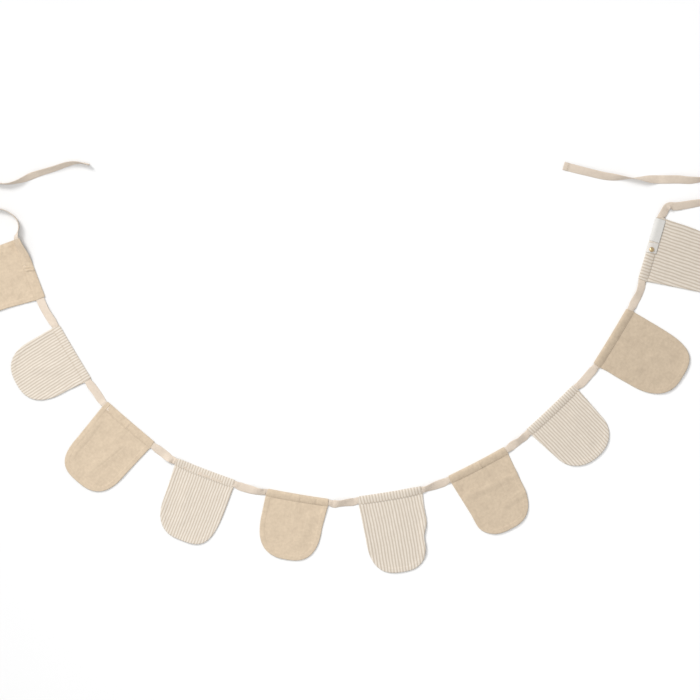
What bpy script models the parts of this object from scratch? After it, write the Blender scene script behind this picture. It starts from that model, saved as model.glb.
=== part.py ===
"""Fabric bunting: ten round-ended cloth flags threaded on one flat tape, laid out in an arc.

Layout sizes are in millimetres and are turned into metres when a point is placed.
In a flag's own frame u runs along its header, v runs down from the header's top fold, z is up.
"""
import math
from collections import namedtuple

import bmesh
import bpy
from mathutils import Vector

MM = 0.001
GAP = 0.3

# Middle of the layout, which stands at the world's origin
LAYOUT_X = -21.25
LAYOUT_Y = -25.7

# Flag cloth: two layers sewn round the edge and turned out
CLOTH = 2.4
CLOTH_EDGE = 1.7

# Flat twill tape
TAPE_WIDTH = 12.4
TAPE = 1.2
HEM = 2.0
HEM_LENGTH = 7.5
TAPE_STEP = 8.0
ROLL_STEP = 9.0

# Casing: the header folded over the tape and sewn down along one line. The tape lies curled across its
# width inside, unless the header is deep enough for it to lie flat.
FOLD = 1.0
TAPE_LEVEL = FOLD + GAP + TAPE / 2
CURL_KEPT = 0.85
TUNNEL_FROM = 0.082
TUNNEL_TO = 0.926
HEADER_INSET = 2.5
BOW_SPAN = 50.0

# Casing section: v is a share of the header's depth, z the height over a flat tape, and curl the share of
# the tape's curl that is added. The outside runs from the stitch line over the fold and back under.
Level = namedtuple("Level", "v z curl")
OUTSIDE = (
    Level(1.0, CLOTH, 0), Level(0.971, 3.1, 0.2), Level(0.87, 3.7, 0.6), Level(0.705, 4.0, 0.86),
    Level(0.525, 4.1, 1), Level(0.345, 4.0, 0.86), Level(0.155, 3.7, 0.6), Level(0.033, 2.9, 0.2),
    Level(0, 1.9, 0), Level(0.066, 0.4, 0), Level(0.2, 0, 0), Level(1.0, 0, 0),
)
INSIDE = (
    Level(TUNNEL_TO, 1.9, 0), Level(TUNNEL_TO, 2.8, 0), Level(0.86, 2.9, 0.35), Level(0.69, 3.0, 0.8),
    Level(0.515, 3.0, 1), Level(0.345, 3.0, 0.8), Level(0.165, 2.9, 0.4), Level(TUNNEL_FROM, 2.8, 0),
    Level(TUNNEL_FROM, 1.9, 0), Level(TUNNEL_FROM, FOLD, 0), Level(0.515, FOLD, 0), Level(TUNNEL_TO, FOLD, 0),
)
FOLD_LEVEL = 8

# Mesh steps of a flag: across, twice as many where the header turns up far, and down below the stitch line
ACROSS = 10
ACROSS_TURNED = 20
DOWN = 11

# Points of an outline along one side, one half of a round corner, or half the lower end
OUTLINE_STEPS = 12

# One side of a flag: half width at the top and just above the round corner, where that corner starts,
# and its squareness, 2 being round
Side = namedtuple("Side", "top low shoulder corner")
Flag = namedtuple("Flag", "name cloth x y turn bow header left right drop across", defaults=(ACROSS,))

FLAGS = (
    Flag("flag_01", "sand", -473.8, 124.7, -69.5, 0.3, 17.0,
         Side(48.3, 48.1, 52, 2.3), Side(49.6, 43.9, 60, 2.4), 116, ACROSS_TURNED),
    Flag("flag_02", "stripe", -411.7, -2.5, -59.3, 0.4, 13.0,
         Side(47.7, 48.4, 50, 2.6), Side(47.9, 43.8, 43, 2.4), 100.3),
    Flag("flag_03", "sand", -329.2, -106.3, -40.7, 0.5, 12.4,
         Side(46.3, 44.2, 67, 3.1), Side(49.3, 46.5, 69, 2.6), 120.3),
    Flag("flag_04", "stripe", -216.5, -177.9, -20.8, 0.9, 12.4,
         Side(45.7, 42.7, 63, 2.4), Side(48.8, 49.3, 31, 3.8), 112.5),
    Flag("flag_05", "sand", -77.8, -215.2, -9.6, 0.8, 11.2,
         Side(47.0, 48.9, 43, 2.7), Side(48.1, 44.1, 44, 2.7), 99.7),
    Flag("flag_06", "stripe", 61.9, -211.4, 9.3, 0.6, 12.3,
         Side(51.9, 49.4, 61, 2.9), Side(46.6, 42.2, 65, 2.5), 122),
    Flag("flag_07", "sand", 190.5, -166.0, 27.6, 0.9, 12.1,
         Side(50.6, 45.3, 68, 2.8), Side(46.7, 44.2, 58, 2.5), 113.2),
    Flag("flag_08", "stripe", 301.2, -83.7, 43.7, 0.8, 12.1,
         Side(52.2, 47.4, 62, 2.1), Side(46.6, 44.1, 63, 2.2), 103),
    Flag("flag_09", "sand", 390.0, 22.1, 58.8, 0.5, 12.4,
         Side(50.2, 48.0, 62, 2.4), Side(48.2, 48.7, 49, 3.5), 124.6),
    Flag("flag_10", "stripe", 445.8, 153.9, 73.5, 0.2, 13.8,
         Side(50.6, 41.9, 92, 2.3), Side(49.0, 47.5, 40, 2.2), 126),
)

# Places where a flag's side bulges out or is drawn in: end is -1 for left and 1 for right
Wave = namedtuple("Wave", "flag end at reach push")
WAVES = (
    Wave("flag_06", 1, 53, 15, 2.2),
    Wave("flag_06", 1, 75, 12, -4.2),
    Wave("flag_06", 1, 95, 14, -2.2),
    Wave("flag_07", -1, 92, 10, 1.4),
    Wave("flag_09", -1, 24, 12, -0.8),
)

# Header ends that turn up on the tape's edge: the angle is reached at the end, and begins is a share of
# the half header, from 0 at its middle to 1 at its end.
# A full turn also draws the header's edge towards the tape by DRAWN, over the cloth's next DRAWN_REACH.
DRAWN = 5.0
DRAWN_REACH = 34.0
Turned = namedtuple("Turned", "flag end begins angle")
TURNED = (
    Turned("flag_01", -1, 0.0, 52),
    Turned("flag_04", -1, 0.3, 14),
    Turned("flag_06", 1, 0.3, 16),
)

# Soft folds that raise the cloth: a line from one place to another, its half width and its height.
# They rise from nothing over FOLD_RISE below the stitch line.
FOLD_RISE = 10.0
Fold = namedtuple("Fold", "flag u1 v1 u2 v2 width height")
FOLDS = (
    Fold("flag_01", -38, 30, -36, 62, 12, 1.6),
    Fold("flag_03", -36, 31, -33, 92, 12, 1.3),
    Fold("flag_03", 16, 37, 4, 96, 11, 1.2),
    Fold("flag_05", 22, 34, 14, 74, 13, 0.9),
    Fold("flag_06", 39, 60, 36, 98, 10, 1.6),
    Fold("flag_07", 44, 44, -37, 40, 10, 1.4),
    Fold("flag_07", 42, 74, 8, 78, 9, 1.1),
    Fold("flag_09", -6, 28, -20, 60, 12, 1.1),
    Fold("flag_09", 4, 70, 16, 92, 12, 1.0),
    Fold("flag_02", 10, 36, -12, 68, 13, 0.9),
    Fold("flag_04", -16, 40, -8, 84, 13, 0.8),
    Fold("flag_08", 12, 34, 6, 76, 12, 0.8),
    Fold("flag_10", 30, 40, 22, 86, 14, 0.9),
)

# Places along the tape: lift is the height of its lower edge, roll is 90 where it stands on its edge
Spot = namedtuple("Spot", "x y lift roll")
LEFT_TIE = (
    Spot(-390.3, 277.2, 0, 90), Spot(-399.0, 279.5, 0, 90), Spot(-409.5, 280.5, 0, 102),
    Spot(-423.0, 278.2, 0, 118), Spot(-444.0, 271.2, 0, 126), Spot(-462.0, 265.8, 0, 130),
    Spot(-478.5, 260.1, 0, 138), Spot(-489.0, 255.2, 0, 124), Spot(-499.8, 251.4, 0, 106),
    Spot(-514.5, 248.6, 0, 92), Spot(-530.0, 250.2, 0, 90), Spot(-548.0, 254.2, 0, 90),
    Spot(-570.0, 257.5, 0, 90), Spot(-592.0, 256.5, 0, 90), Spot(-610.0, 249.5, 0, 90),
    Spot(-619.0, 236.0, 0, 90), Spot(-613.0, 222.5, 0, 90), Spot(-596.0, 215.0, 0, 90),
    Spot(-572.0, 212.5, 0, 90), Spot(-546.0, 212.5, 0, 90), Spot(-525.0, 211.8, 0, 90),
    Spot(-509.5, 205.5, 0, 90), Spot(-499.0, 195.5, 0, 90), Spot(-495.6, 185.5, 0, 88),
    Spot(-497.6, 176.0, 0.6, 76),
)
RIGHT_TIE = (
    Spot(469.2, 203.6, 0.6, 8), Spot(472.0, 209.3, 0.3, 12), Spot(475.2, 214.2, 0, 16),
    Spot(480.8, 215.6, 0, 15), Spot(487.0, 215.2, 0, 12), Spot(501.3, 217.0, 0, 15),
    Spot(516.7, 219.6, 0, 28), Spot(529.0, 221.3, 0, 44), Spot(541.5, 223.0, 0, 66),
    Spot(557.0, 226.4, 0, 88), Spot(570.5, 232.2, 0, 90), Spot(576.5, 242.3, 0, 90),
    Spot(570.5, 251.6, 0, 90), Spot(557.0, 255.8, 0, 94), Spot(541.5, 255.8, 0, 106),
    Spot(525.0, 255.0, 0, 124), Spot(508.5, 254.3, 0, 146), Spot(501.0, 254.8, 0, 149),
    Spot(494.0, 255.6, 0, 159), Spot(472.2, 255.7, 0, 170), Spot(450.8, 256.1, 0, 200),
    Spot(435.0, 256.8, 0, 241), Spot(424.0, 257.2, 0, 263), Spot(414.0, 257.6, 0, 282),
    Spot(404.0, 258.2, 0, 302), Spot(393.0, 259.2, 0, 322), Spot(381.0, 260.9, 0, 330),
    Spot(357.0, 266.5, 0, 335), Spot(332.0, 272.9, 0, 345), Spot(320.1, 276.1, 0, 345),
)

# The tape between two flags, by the number of the flag before: how far along the gap a spot lies, its roll,
# and its drift towards the flags' side
Kink = namedtuple("Kink", "after at roll drift")
KINKS = (
    Kink(1, 0.36, 12, 1.4),
    Kink(2, 0.50, -10, -0.4), Kink(2, 0.85, -4, 0.2),
    Kink(3, 0.40, 4, 0.5), Kink(3, 0.66, -12, 0.9), Kink(3, 0.80, -34, 1.0),
    Kink(4, 0.12, 4, 1.2), Kink(4, 0.50, 8, 2.2), Kink(4, 0.88, 32, 1.5),
    Kink(5, 0.12, 6, 2.2), Kink(5, 0.32, 34, 2.4), Kink(5, 0.70, 22, 1.6), Kink(5, 0.90, 6, 1.4),
    Kink(6, 0.12, 38, 0.4), Kink(6, 0.50, 14, 0.7), Kink(6, 0.86, 3, 0.9),
    Kink(7, 0.30, 6, 0.3), Kink(7, 0.56, 32, 1.1), Kink(7, 0.88, 10, 1.0),
    Kink(8, 0.14, -3, 1.5), Kink(8, 0.60, -3, 1.1),
    Kink(9, 0.30, 3, 1.6), Kink(9, 0.60, 20, 2.9), Kink(9, 0.88, 8, 1.8),
)
MOUTH_LEAD = 2.5

# Section of the tape: across from -1 to 1, the header's fold being at 1, and up its thickness from -1 to 1
TAPE_CORNERS = ((-1, 1), (0, 1), (1, 1), (1, -1), (0, -1), (-1, -1))

# Label and tab wrapped over the last flag's header, and the stud through the tab
LABEL_FLAG = FLAGS[9]
LABEL_FROM = 10.8
LABEL_TO = 46.0
LABEL_FRONT = 13.2
TAB_FROM = -6.4
TAB_TO = 8.8
TAB_FRONT = 13.2
TRIM = 1.0
TRIM_BACK = (0.3, 1.4)
STUD_AT = -1.6
STUD_V = 6.5
STUD_RADIUS = 3.9
STUD_FOOT = 3.5
STUD_SHOULDER = 3.6
STUD_DOME = 3.4
STUD_HEIGHT = 2.4
STUD_RIM = 0.7
STUD_SIDES = 20
STUD_RINGS = 4

# Finishes as colour, roughness and metallic value
Finish = namedtuple("Finish", "colour roughness metallic")
FINISHES = {
    "sand": Finish((0.68, 0.55, 0.40), 0.9, 0.0),
    "stripe": Finish((0.78, 0.70, 0.60), 0.9, 0.0),
    "tape": Finish((0.74, 0.64, 0.54), 0.85, 0.0),
    "label": Finish((0.86, 0.87, 0.86), 0.6, 0.0),
    "tab": Finish((0.86, 0.83, 0.80), 0.7, 0.0),
    "brass": Finish((0.72, 0.50, 0.20), 0.3, 1.0),
}


def smooth(t):
    """Ease from 0 to 1 with level ends."""
    t = min(max(t, 0.0), 1.0)
    return t * t * (3.0 - 2.0 * t)


def turned_up(flag, u, v):
    """Angle in radians by which the header is turned up at (u, v)."""
    height = min(v, flag.header)
    left, right = header_edge(flag, -1, height), header_edge(flag, 1, height)
    along = 2.0 * (u - left) / (right - left) - 1.0
    angle = 0.0
    for row in TURNED:
        if row.flag == flag.name:
            angle += row.angle * smooth((row.end * along - row.begins) / (1.0 - row.begins))
    return math.radians(angle)


def fold_height(flag, u, v):
    """Height by which the flag's soft folds raise the cloth at (u, v)."""
    height = 0.0
    point = Vector((u, v))
    for row in FOLDS:
        if row.flag == flag.name:
            start = Vector((row.u1, row.v1))
            run = Vector((row.u2, row.v2)) - start
            along = min(max((point - start).dot(run) / run.length_squared, 0.0), 1.0)
            distance = (point - start - run * along).length
            height += row.height * (1.0 - smooth(distance / row.width))
    return height * smooth((v - flag.header) / FOLD_RISE)


def place(flag, u, v, z):
    """World point of a place in the flag's own frame."""
    raised = z + fold_height(flag, u, v)
    angle = turned_up(flag, u, v)
    drawn = DRAWN * math.sin(angle) * (1.0 - smooth((v - flag.header) / DRAWN_REACH))
    if v <= flag.header and angle:
        back = v - flag.header
        v = flag.header + back * math.cos(angle) + z * math.sin(angle)
        raised = z * math.cos(angle) - back * math.sin(angle)
    v += flag.bow * (1.0 - (u / BOW_SPAN) ** 2) - drawn
    turn = math.radians(flag.turn)
    x = flag.x + u * math.cos(turn) + v * math.sin(turn)
    y = flag.y + u * math.sin(turn) - v * math.cos(turn)
    return Vector((x - LAYOUT_X, y - LAYOUT_Y, raised)) * MM


def header_edge(flag, end, v):
    """u of the flag's side at a height within the header."""
    side = flag.left if end < 0 else flag.right
    width = side.top + (side.low - side.top) * v / side.shoulder
    return end * (width - HEADER_INSET * max(0.0, 1.0 - v / flag.header))


def tape_curl(flag):
    """Width and curl of the tape where it lies in the flag's casing."""
    width = min((TUNNEL_TO - TUNNEL_FROM) * flag.header - 2 * GAP, TAPE_WIDTH)
    return width, CURL_KEPT * math.sqrt(3.0 * width * (TAPE_WIDTH - width) / 8.0)


def casing_section(flag, levels):
    """Places (v, z) of the casing's outside or inside on one flag."""
    curl = tape_curl(flag)[1]
    return [Vector((level.v * flag.header, level.z + level.curl * curl)) for level in levels]


def round_corner(flag, end, angle):
    """Place on the round corner, from 0 at its shoulder to a quarter turn at the flag's tip."""
    side = flag.left if end < 0 else flag.right
    power = 2.0 / side.corner
    u = side.low * math.cos(angle) ** power
    v = side.shoulder + (flag.drop - side.shoulder) * math.sin(angle) ** power
    return Vector((end * u, v))


def flag_side(flag, end):
    """Outline of one side, from the stitch line to half way round its corner."""
    side = flag.left if end < 0 else flag.right
    points = []
    for step in range(OUTLINE_STEPS):
        v = flag.header + (side.shoulder - flag.header) * step / OUTLINE_STEPS
        points.append(Vector((header_edge(flag, end, v), v)))
    for step in range(OUTLINE_STEPS + 1):
        points.append(round_corner(flag, end, math.pi / 4 * step / OUTLINE_STEPS))
    for row in WAVES:
        if row.flag == flag.name and row.end == end:
            for point in points:
                point.x += end * row.push * math.exp(-((point.y - row.at) / row.reach) ** 2)
    return points


def flag_bottom(flag, left, right):
    """Outline of the flag's lower end between its two corners."""
    angles = [math.pi / 4 * (1 + step / OUTLINE_STEPS) for step in range(1, OUTLINE_STEPS)]
    down = [round_corner(flag, -1, angle) for angle in angles]
    up = [round_corner(flag, 1, angle) for angle in reversed(angles)]
    return [left] + down + [Vector((0, flag.drop))] + up + [right]


def spaced(points, count):
    """The same line with count even steps along its length."""
    lengths = [0.0]
    for first, second in zip(points, points[1:]):
        lengths.append(lengths[-1] + (second - first).length)
    result = []
    index = 0
    for step in range(count + 1):
        target = lengths[-1] * step / count
        while index < len(points) - 2 and lengths[index + 1] < target:
            index += 1
        share = (target - lengths[index]) / (lengths[index + 1] - lengths[index])
        result.append(points[index].lerp(points[index + 1], share))
    return result


def flag_grid(flag):
    """Places (u, v) over the flag's body: rows run down from the stitch line."""
    left_line = flag_side(flag, -1)
    right_line = flag_side(flag, 1)
    bottom = spaced(flag_bottom(flag, left_line[-1], right_line[-1]), flag.across)
    left = spaced(left_line, DOWN)
    right = spaced(right_line, DOWN)
    rows = []
    for j in range(DOWN + 1):
        t = j / DOWN
        row = []
        for i in range(flag.across + 1):
            s = i / flag.across
            top = left[0].lerp(right[0], s)
            corners = left[0].lerp(right[0], s).lerp(left[-1].lerp(right[-1], s), t)
            row.append(top.lerp(bottom[i], t) + left[j].lerp(right[j], s) - corners)
        rows.append(row)
    return rows


def add_object(name, mesh_data, finish):
    """Make one closed object from a bmesh."""
    bmesh.ops.recalc_face_normals(mesh_data, faces=mesh_data.faces)
    mesh = bpy.data.meshes.new(name)
    mesh_data.to_mesh(mesh)
    mesh_data.free()
    mesh.materials.append(material(finish))
    bpy.context.scene.collection.objects.link(bpy.data.objects.new(name, mesh))


def material(name):
    """Plain material with the part's colour."""
    if name in bpy.data.materials:
        return bpy.data.materials[name]
    made = bpy.data.materials.new(name)
    made.use_nodes = True
    shader = made.node_tree.nodes["Principled BSDF"]
    finish = FINISHES[name]
    shader.inputs["Base Color"].default_value = (*finish.colour, 1.0)
    shader.inputs["Roughness"].default_value = finish.roughness
    shader.inputs["Metallic"].default_value = finish.metallic
    return made


def join_rows(mesh_data, first, second, closed=False):
    """Fill the strip between two rows of points."""
    count = len(first) if closed else len(first) - 1
    for k in range(count):
        n = (k + 1) % len(first)
        mesh_data.faces.new((first[k], first[n], second[n]))
        mesh_data.faces.new((first[k], second[n], second[k]))


def build_flag(flag):
    """One flag: its body, its casing and the tunnel through the casing, as one solid."""
    mesh_data = bmesh.new()
    grid = flag_grid(flag)
    tops = []
    bottoms = []
    for j, row in enumerate(grid):
        top_row = []
        bottom_row = []
        for i, (u, v) in enumerate(row):
            rim = i in (0, flag.across) or j == DOWN
            level = CLOTH_EDGE if rim and j > 0 else CLOTH
            top_row.append(mesh_data.verts.new(place(flag, u, v, level)))
            bottom_row.append(mesh_data.verts.new(place(flag, u, v, 0.0)))
        tops.append(top_row)
        bottoms.append(bottom_row)

    outer = []
    inner = []
    for i in range(flag.across + 1):
        column = {}
        for key, levels in (("out", OUTSIDE[1:-1]), ("in", INSIDE)):
            column[key] = []
            for v, z in casing_section(flag, levels):
                left, right = header_edge(flag, -1, v), header_edge(flag, 1, v)
                u = left + (right - left) * i / flag.across
                column[key].append(mesh_data.verts.new(place(flag, u, v, z)))
        outer.append([tops[0][i]] + column["out"] + [bottoms[0][i]])
        inner.append(column["in"])

    for i in range(flag.across):
        join_rows(mesh_data, outer[i], outer[i + 1])
        join_rows(mesh_data, inner[i], inner[i + 1], closed=True)
    for i in (0, flag.across):
        join_rows(mesh_data, outer[i], inner[i], closed=True)
    for j in range(DOWN):
        join_rows(mesh_data, tops[j], tops[j + 1])
        join_rows(mesh_data, bottoms[j], bottoms[j + 1])
    for i in (0, flag.across):
        join_rows(mesh_data, [row[i] for row in tops], [row[i] for row in bottoms])
    join_rows(mesh_data, tops[DOWN], bottoms[DOWN])
    add_object(flag.name, mesh_data, flag.cloth)


def tape_in_casing(flag):
    """Tape places and their corners through one flag's casing, with a short straight lead at each mouth."""
    stations = [(i / flag.across, 0.0) for i in range(flag.across + 1)]
    stations = [(0.0, -MOUTH_LEAD)] + stations + [(1.0, MOUTH_LEAD)]
    width, curl = tape_curl(flag)
    spots = []
    rings = []
    for share, lead in stations:
        ring = []
        for a, b in TAPE_CORNERS + ((0, 0),):
            v = (TUNNEL_FROM + TUNNEL_TO) / 2 * flag.header - a * width / 2
            z = TAPE_LEVEL + b * TAPE / 2 + curl * (1 - a * a)
            left, right = header_edge(flag, -1, v), header_edge(flag, 1, v)
            ring.append(place(flag, left + (right - left) * share + lead, v, z))
        middle = ring.pop() / MM
        angle = turned_up(flag, left + (right - left) * share, v)
        lift = min(corner.z for corner in ring) / MM
        spots.append(Spot(middle.x + LAYOUT_X, middle.y + LAYOUT_Y, lift, math.degrees(angle)))
        rings.append(ring)
    return spots, rings


def tape_in_gap(row, before, after):
    """One kinked place of the tape between two flags, lying on the surface."""
    run = Vector((after.x - before.x, after.y - before.y))
    across = Vector((run.y, -run.x)).normalized()
    middle = Vector((before.x, before.y)) + run * row.at + across * row.drift
    return Spot(middle.x, middle.y, 0.0, row.roll)


def tape_spots():
    """All places of the tape from tie to tie, and the corners of those inside a casing."""
    spots = list(LEFT_TIE)
    rings = [None] * len(LEFT_TIE)
    for index, flag in enumerate(FLAGS):
        casing, casing_rings = tape_in_casing(flag)
        if index:
            gap = [tape_in_gap(row, spots[-1], casing[0]) for row in KINKS if row.after == index]
            spots += gap
            rings += [None] * len(gap)
        spots += casing
        rings += casing_rings
    return spots + list(RIGHT_TIE), rings + [None] * len(RIGHT_TIE)


def curve_point(p0, p1, p2, p3, t):
    """Smooth curve through p1 and p2, for spots that stand at uneven distances."""
    knots = [0.0]
    for first, second in ((p0, p1), (p1, p2), (p2, p3)):
        gap = math.hypot(second.x - first.x, second.y - first.y)
        knots.append(knots[-1] + max(gap, 0.001))
    near, far = knots[1], knots[2]
    span = far - near
    values = []
    for a, b, c, d in zip(p0, p1, p2, p3):
        slope_b = (b - a) / (knots[1] - knots[0]) * 0.5 + (c - b) / span * 0.5
        slope_c = (c - b) / span * 0.5 + (d - c) / (knots[3] - knots[2]) * 0.5
        h = t * t * (3 - 2 * t)
        values.append(
            b * (1 - h) + c * h + slope_b * span * t * (1 - t) ** 2 - slope_c * span * t * t * (1 - t)
        )
    return Spot(*values)


def tape_line():
    """Evenly stepped stations along the tape, with the corners of those inside a casing."""
    spots, rings = tape_spots()
    padded = [spots[0]] + spots + [spots[-1]]
    line = []
    for p0, p1, p2, p3, ring in zip(padded, padded[1:], padded[2:], padded[3:], rings):
        length = math.hypot(p2.x - p1.x, p2.y - p1.y)
        steps = max(1, round(length / TAPE_STEP), round(abs(p2.roll - p1.roll) / ROLL_STEP))
        if ring and length < TAPE_STEP:
            steps = 1
        line.append((p1, ring))
        line += [(curve_point(p0, p1, p2, p3, step / steps), None) for step in range(1, steps)]
    return line + [(spots[-1], None)]


def free_ring(before, spot, after, thick):
    """Corners of the tape at a place where it lies free."""
    forward = Vector((after.x - before.x, after.y - before.y, 0)).normalized()
    left = Vector((-forward.y, forward.x, 0))
    roll = math.radians(spot.roll)
    side = left * math.cos(roll) + Vector((0, 0, math.sin(roll)))
    face = Vector((0, 0, math.cos(roll))) - left * math.sin(roll)
    rise = (TAPE_WIDTH * abs(math.sin(roll)) + thick * abs(math.cos(roll))) / 2
    middle = Vector((spot.x - LAYOUT_X, spot.y - LAYOUT_Y, max(spot.lift, 0.0) + rise))
    return [(middle + side * (a * TAPE_WIDTH / 2) + face * (b * thick / 2)) * MM for a, b in TAPE_CORNERS]


def build_tape():
    """The tape with its hemmed ends, as one solid ribbon."""
    line = tape_line()
    walked = [0.0]
    for (first, _), (second, _) in zip(line, line[1:]):
        walked.append(walked[-1] + math.hypot(second.x - first.x, second.y - first.y))
    mesh_data = bmesh.new()
    rows = []
    for index, (spot, ring) in enumerate(line):
        if ring is None:
            thick = HEM if min(walked[index], walked[-1] - walked[index]) < HEM_LENGTH else TAPE
            before = line[max(index - 1, 0)][0]
            after = line[min(index + 1, len(line) - 1)][0]
            ring = free_ring(before, spot, after, thick)
        rows.append([mesh_data.verts.new(corner) for corner in ring])
    for first, second in zip(rows, rows[1:]):
        join_rows(mesh_data, first, second, closed=True)
    mesh_data.faces.new(rows[0])
    mesh_data.faces.new(rows[-1])
    add_object("tape", mesh_data, "tape")


def offset_section(points, distance):
    """Line of (v, z) moved outwards from the casing by a distance."""
    moved = []
    for index, point in enumerate(points):
        before = points[max(index - 1, 0)]
        after = points[min(index + 1, len(points) - 1)]
        run = (after - before).normalized()
        moved.append(point + Vector((-run.y, run.x)) * -distance)
    return moved


def build_wrap(name, start, end, front, finish):
    """A strip folded over the last flag's header, from its front round the top fold to TRIM_BACK."""
    casing = casing_section(LABEL_FLAG, OUTSIDE)
    low, high = casing[1:3]
    inside = [low.lerp(high, (low.x - front) / (low.x - high.x))] + casing[2:FOLD_LEVEL + 1]
    inside.append(Vector(TRIM_BACK))
    near = offset_section(inside, GAP)
    far = offset_section(inside, GAP + TRIM)
    section = near + list(reversed(far))
    mesh_data = bmesh.new()
    rings = []
    for u in (start, (start + end) / 2, end):
        rings.append([mesh_data.verts.new(place(LABEL_FLAG, u, v, z)) for v, z in section])
    for first, second in zip(rings, rings[1:]):
        join_rows(mesh_data, first, second, closed=True)
    for ring in (rings[0], rings[-1]):
        half = len(near)
        for k in range(half - 1):
            mesh_data.faces.new((ring[k], ring[k + 1], ring[-k - 2], ring[-k - 1]))
    add_object(name, mesh_data, finish)


def build_stud():
    """Domed cap of the stud on the tab."""
    crown = max(point.y for point in casing_section(LABEL_FLAG, OUTSIDE))
    base = crown + GAP + TRIM + GAP
    profile = [(STUD_FOOT, 0.0), (STUD_RADIUS, STUD_RIM / 2), (STUD_SHOULDER, STUD_RIM)]
    for ring in range(1, STUD_RINGS):
        angle = math.pi / 2 * ring / STUD_RINGS
        rise = (STUD_HEIGHT - STUD_RIM) * math.sin(angle)
        profile.append((STUD_DOME * math.cos(angle), STUD_RIM + rise))
    mesh_data = bmesh.new()
    rings = []
    for radius, rise in profile:
        ring = []
        for side in range(STUD_SIDES):
            angle = 2 * math.pi * side / STUD_SIDES
            u = STUD_AT + radius * math.cos(angle)
            v = STUD_V + radius * math.sin(angle)
            ring.append(mesh_data.verts.new(place(LABEL_FLAG, u, v, base + rise)))
        rings.append(ring)
    for first, second in zip(rings, rings[1:]):
        join_rows(mesh_data, first, second, closed=True)
    mesh_data.faces.new(rings[0])
    top = mesh_data.verts.new(place(LABEL_FLAG, STUD_AT, STUD_V, base + STUD_HEIGHT))
    for side in range(STUD_SIDES):
        mesh_data.faces.new((rings[-1][side], rings[-1][(side + 1) % STUD_SIDES], top))
    add_object("brass_stud", mesh_data, "brass")


def build():
    """Clear the scene and build every piece."""
    for old in list(bpy.data.objects):
        bpy.data.objects.remove(old, do_unlink=True)
    for flag in FLAGS:
        build_flag(flag)
    build_tape()
    build_wrap("side_label", LABEL_FROM, LABEL_TO, LABEL_FRONT, "label")
    build_wrap("stud_tab", TAB_FROM, TAB_TO, TAB_FRONT, "tab")
    build_stud()


build()
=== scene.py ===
"""Looks of a fabric bunting that lies flat in an arc: ten round-ended flags on one flat tape.

Sizes are in millimetres and are turned into metres when a point is placed. In a flag's own frame u runs
along its header, v runs down from the header's top fold, and z is up.
"""

import logging
import math
from dataclasses import dataclass
from enum import Enum

import bmesh
import bpy
import numpy as np
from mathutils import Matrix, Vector

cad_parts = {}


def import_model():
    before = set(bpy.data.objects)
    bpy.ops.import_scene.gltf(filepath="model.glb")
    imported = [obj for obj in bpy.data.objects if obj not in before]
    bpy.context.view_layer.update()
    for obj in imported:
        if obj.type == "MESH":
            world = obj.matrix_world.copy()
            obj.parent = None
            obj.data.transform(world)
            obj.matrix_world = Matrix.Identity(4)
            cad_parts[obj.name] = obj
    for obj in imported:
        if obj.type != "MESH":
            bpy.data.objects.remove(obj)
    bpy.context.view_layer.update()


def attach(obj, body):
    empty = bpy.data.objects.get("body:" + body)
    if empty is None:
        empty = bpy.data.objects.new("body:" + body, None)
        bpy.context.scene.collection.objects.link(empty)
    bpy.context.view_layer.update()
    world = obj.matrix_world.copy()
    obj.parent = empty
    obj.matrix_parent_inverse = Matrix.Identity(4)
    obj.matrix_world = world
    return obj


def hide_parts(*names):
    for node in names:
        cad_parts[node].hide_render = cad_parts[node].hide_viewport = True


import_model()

LOG = logging.getLogger("bunting")
MM = 0.001
BODY = "root"

# Middle of the layout, which stands at the world's origin
LAYOUT_X = -21.25
LAYOUT_Y = -25.7

# Clearances and walls shared by the flags and the tape
GAP = 0.3
WALL = 1.0
TAPE_WIDTH = 12.4
TAPE_SOLID = 1.2
TAPE_LEVEL = WALL + GAP + TAPE_SOLID / 2
TAPE_IN_CASING = 0.8
TAPE_MIDDLE = 0.485
CURL = 1.1
CURL_REACH = 2.5
HEADER_INSET = 2.5
BOW_SPAN = 50.0
DRAWN = 5.0
DRAWN_REACH = 34.0
HINGE_REACH = 8.0
FOLD_MIDDLE = 1.9


class Cloth(Enum):
    """The two cloths that the flags are cut from, by their material slot."""

    SAND = "sand_cloth"
    STRIPED = "striped_cloth"


class End(Enum):
    """A flag's left or right end, as the sign of u."""

    LEFT = -1
    RIGHT = 1


@dataclass(frozen=True)
class Side:
    """One side of a flag: half widths at the top and above its round corner, and that corner's start."""

    top: float
    low: float
    shoulder: float
    corner: float


@dataclass(frozen=True)
class Stripe:
    """Stripes of one flag: their pitch, their lean in degrees at the top and the low end, and their shifts."""

    pitch: float
    lean_top: float
    lean_low: float
    phase: float
    header_shift: float


@dataclass(frozen=True)
class FlagSize:
    """Place, turn and outline of one flag, its casing's puff, its low end's lift, how crushed its face is and its
    colour factor, mostly painted light falloff and partly dye.
    """

    name: str
    cloth: Cloth
    x: float
    y: float
    turn: float
    bow: float
    header: float
    left: Side
    right: Side
    drop: float
    puff: float
    tip_lift: float
    stripe: Stripe | None = None
    crush: float = 1.0
    painted_falloff_and_dye: float = 1.0


@dataclass(frozen=True)
class Wave:
    """A place where a flag's side bulges out or is drawn in."""

    flag: str
    end: End
    at: float
    reach: float
    push: float


@dataclass(frozen=True)
class Turned:
    """A header end that turns up on the tape's edge, reaching its angle at the end."""

    flag: str
    end: End
    begins: float
    angle: float


@dataclass(frozen=True)
class Crease:
    """A soft ridge, or a trough where the height is below zero, along a line of places (u, v)."""

    flag: str
    path: tuple[tuple[float, float], ...]
    width: float
    height: float


@dataclass(frozen=True)
class Spot:
    """A place on the tape: lift is its lower edge's height, and roll is 90 where it stands on edge."""

    x: float
    y: float
    lift: float
    roll: float


@dataclass(frozen=True)
class Kink:
    """A spot of the tape in the gap after a flag: its share of the way, its roll and its sideways drift."""

    after: str
    at: float
    roll: float
    drift: float


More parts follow.
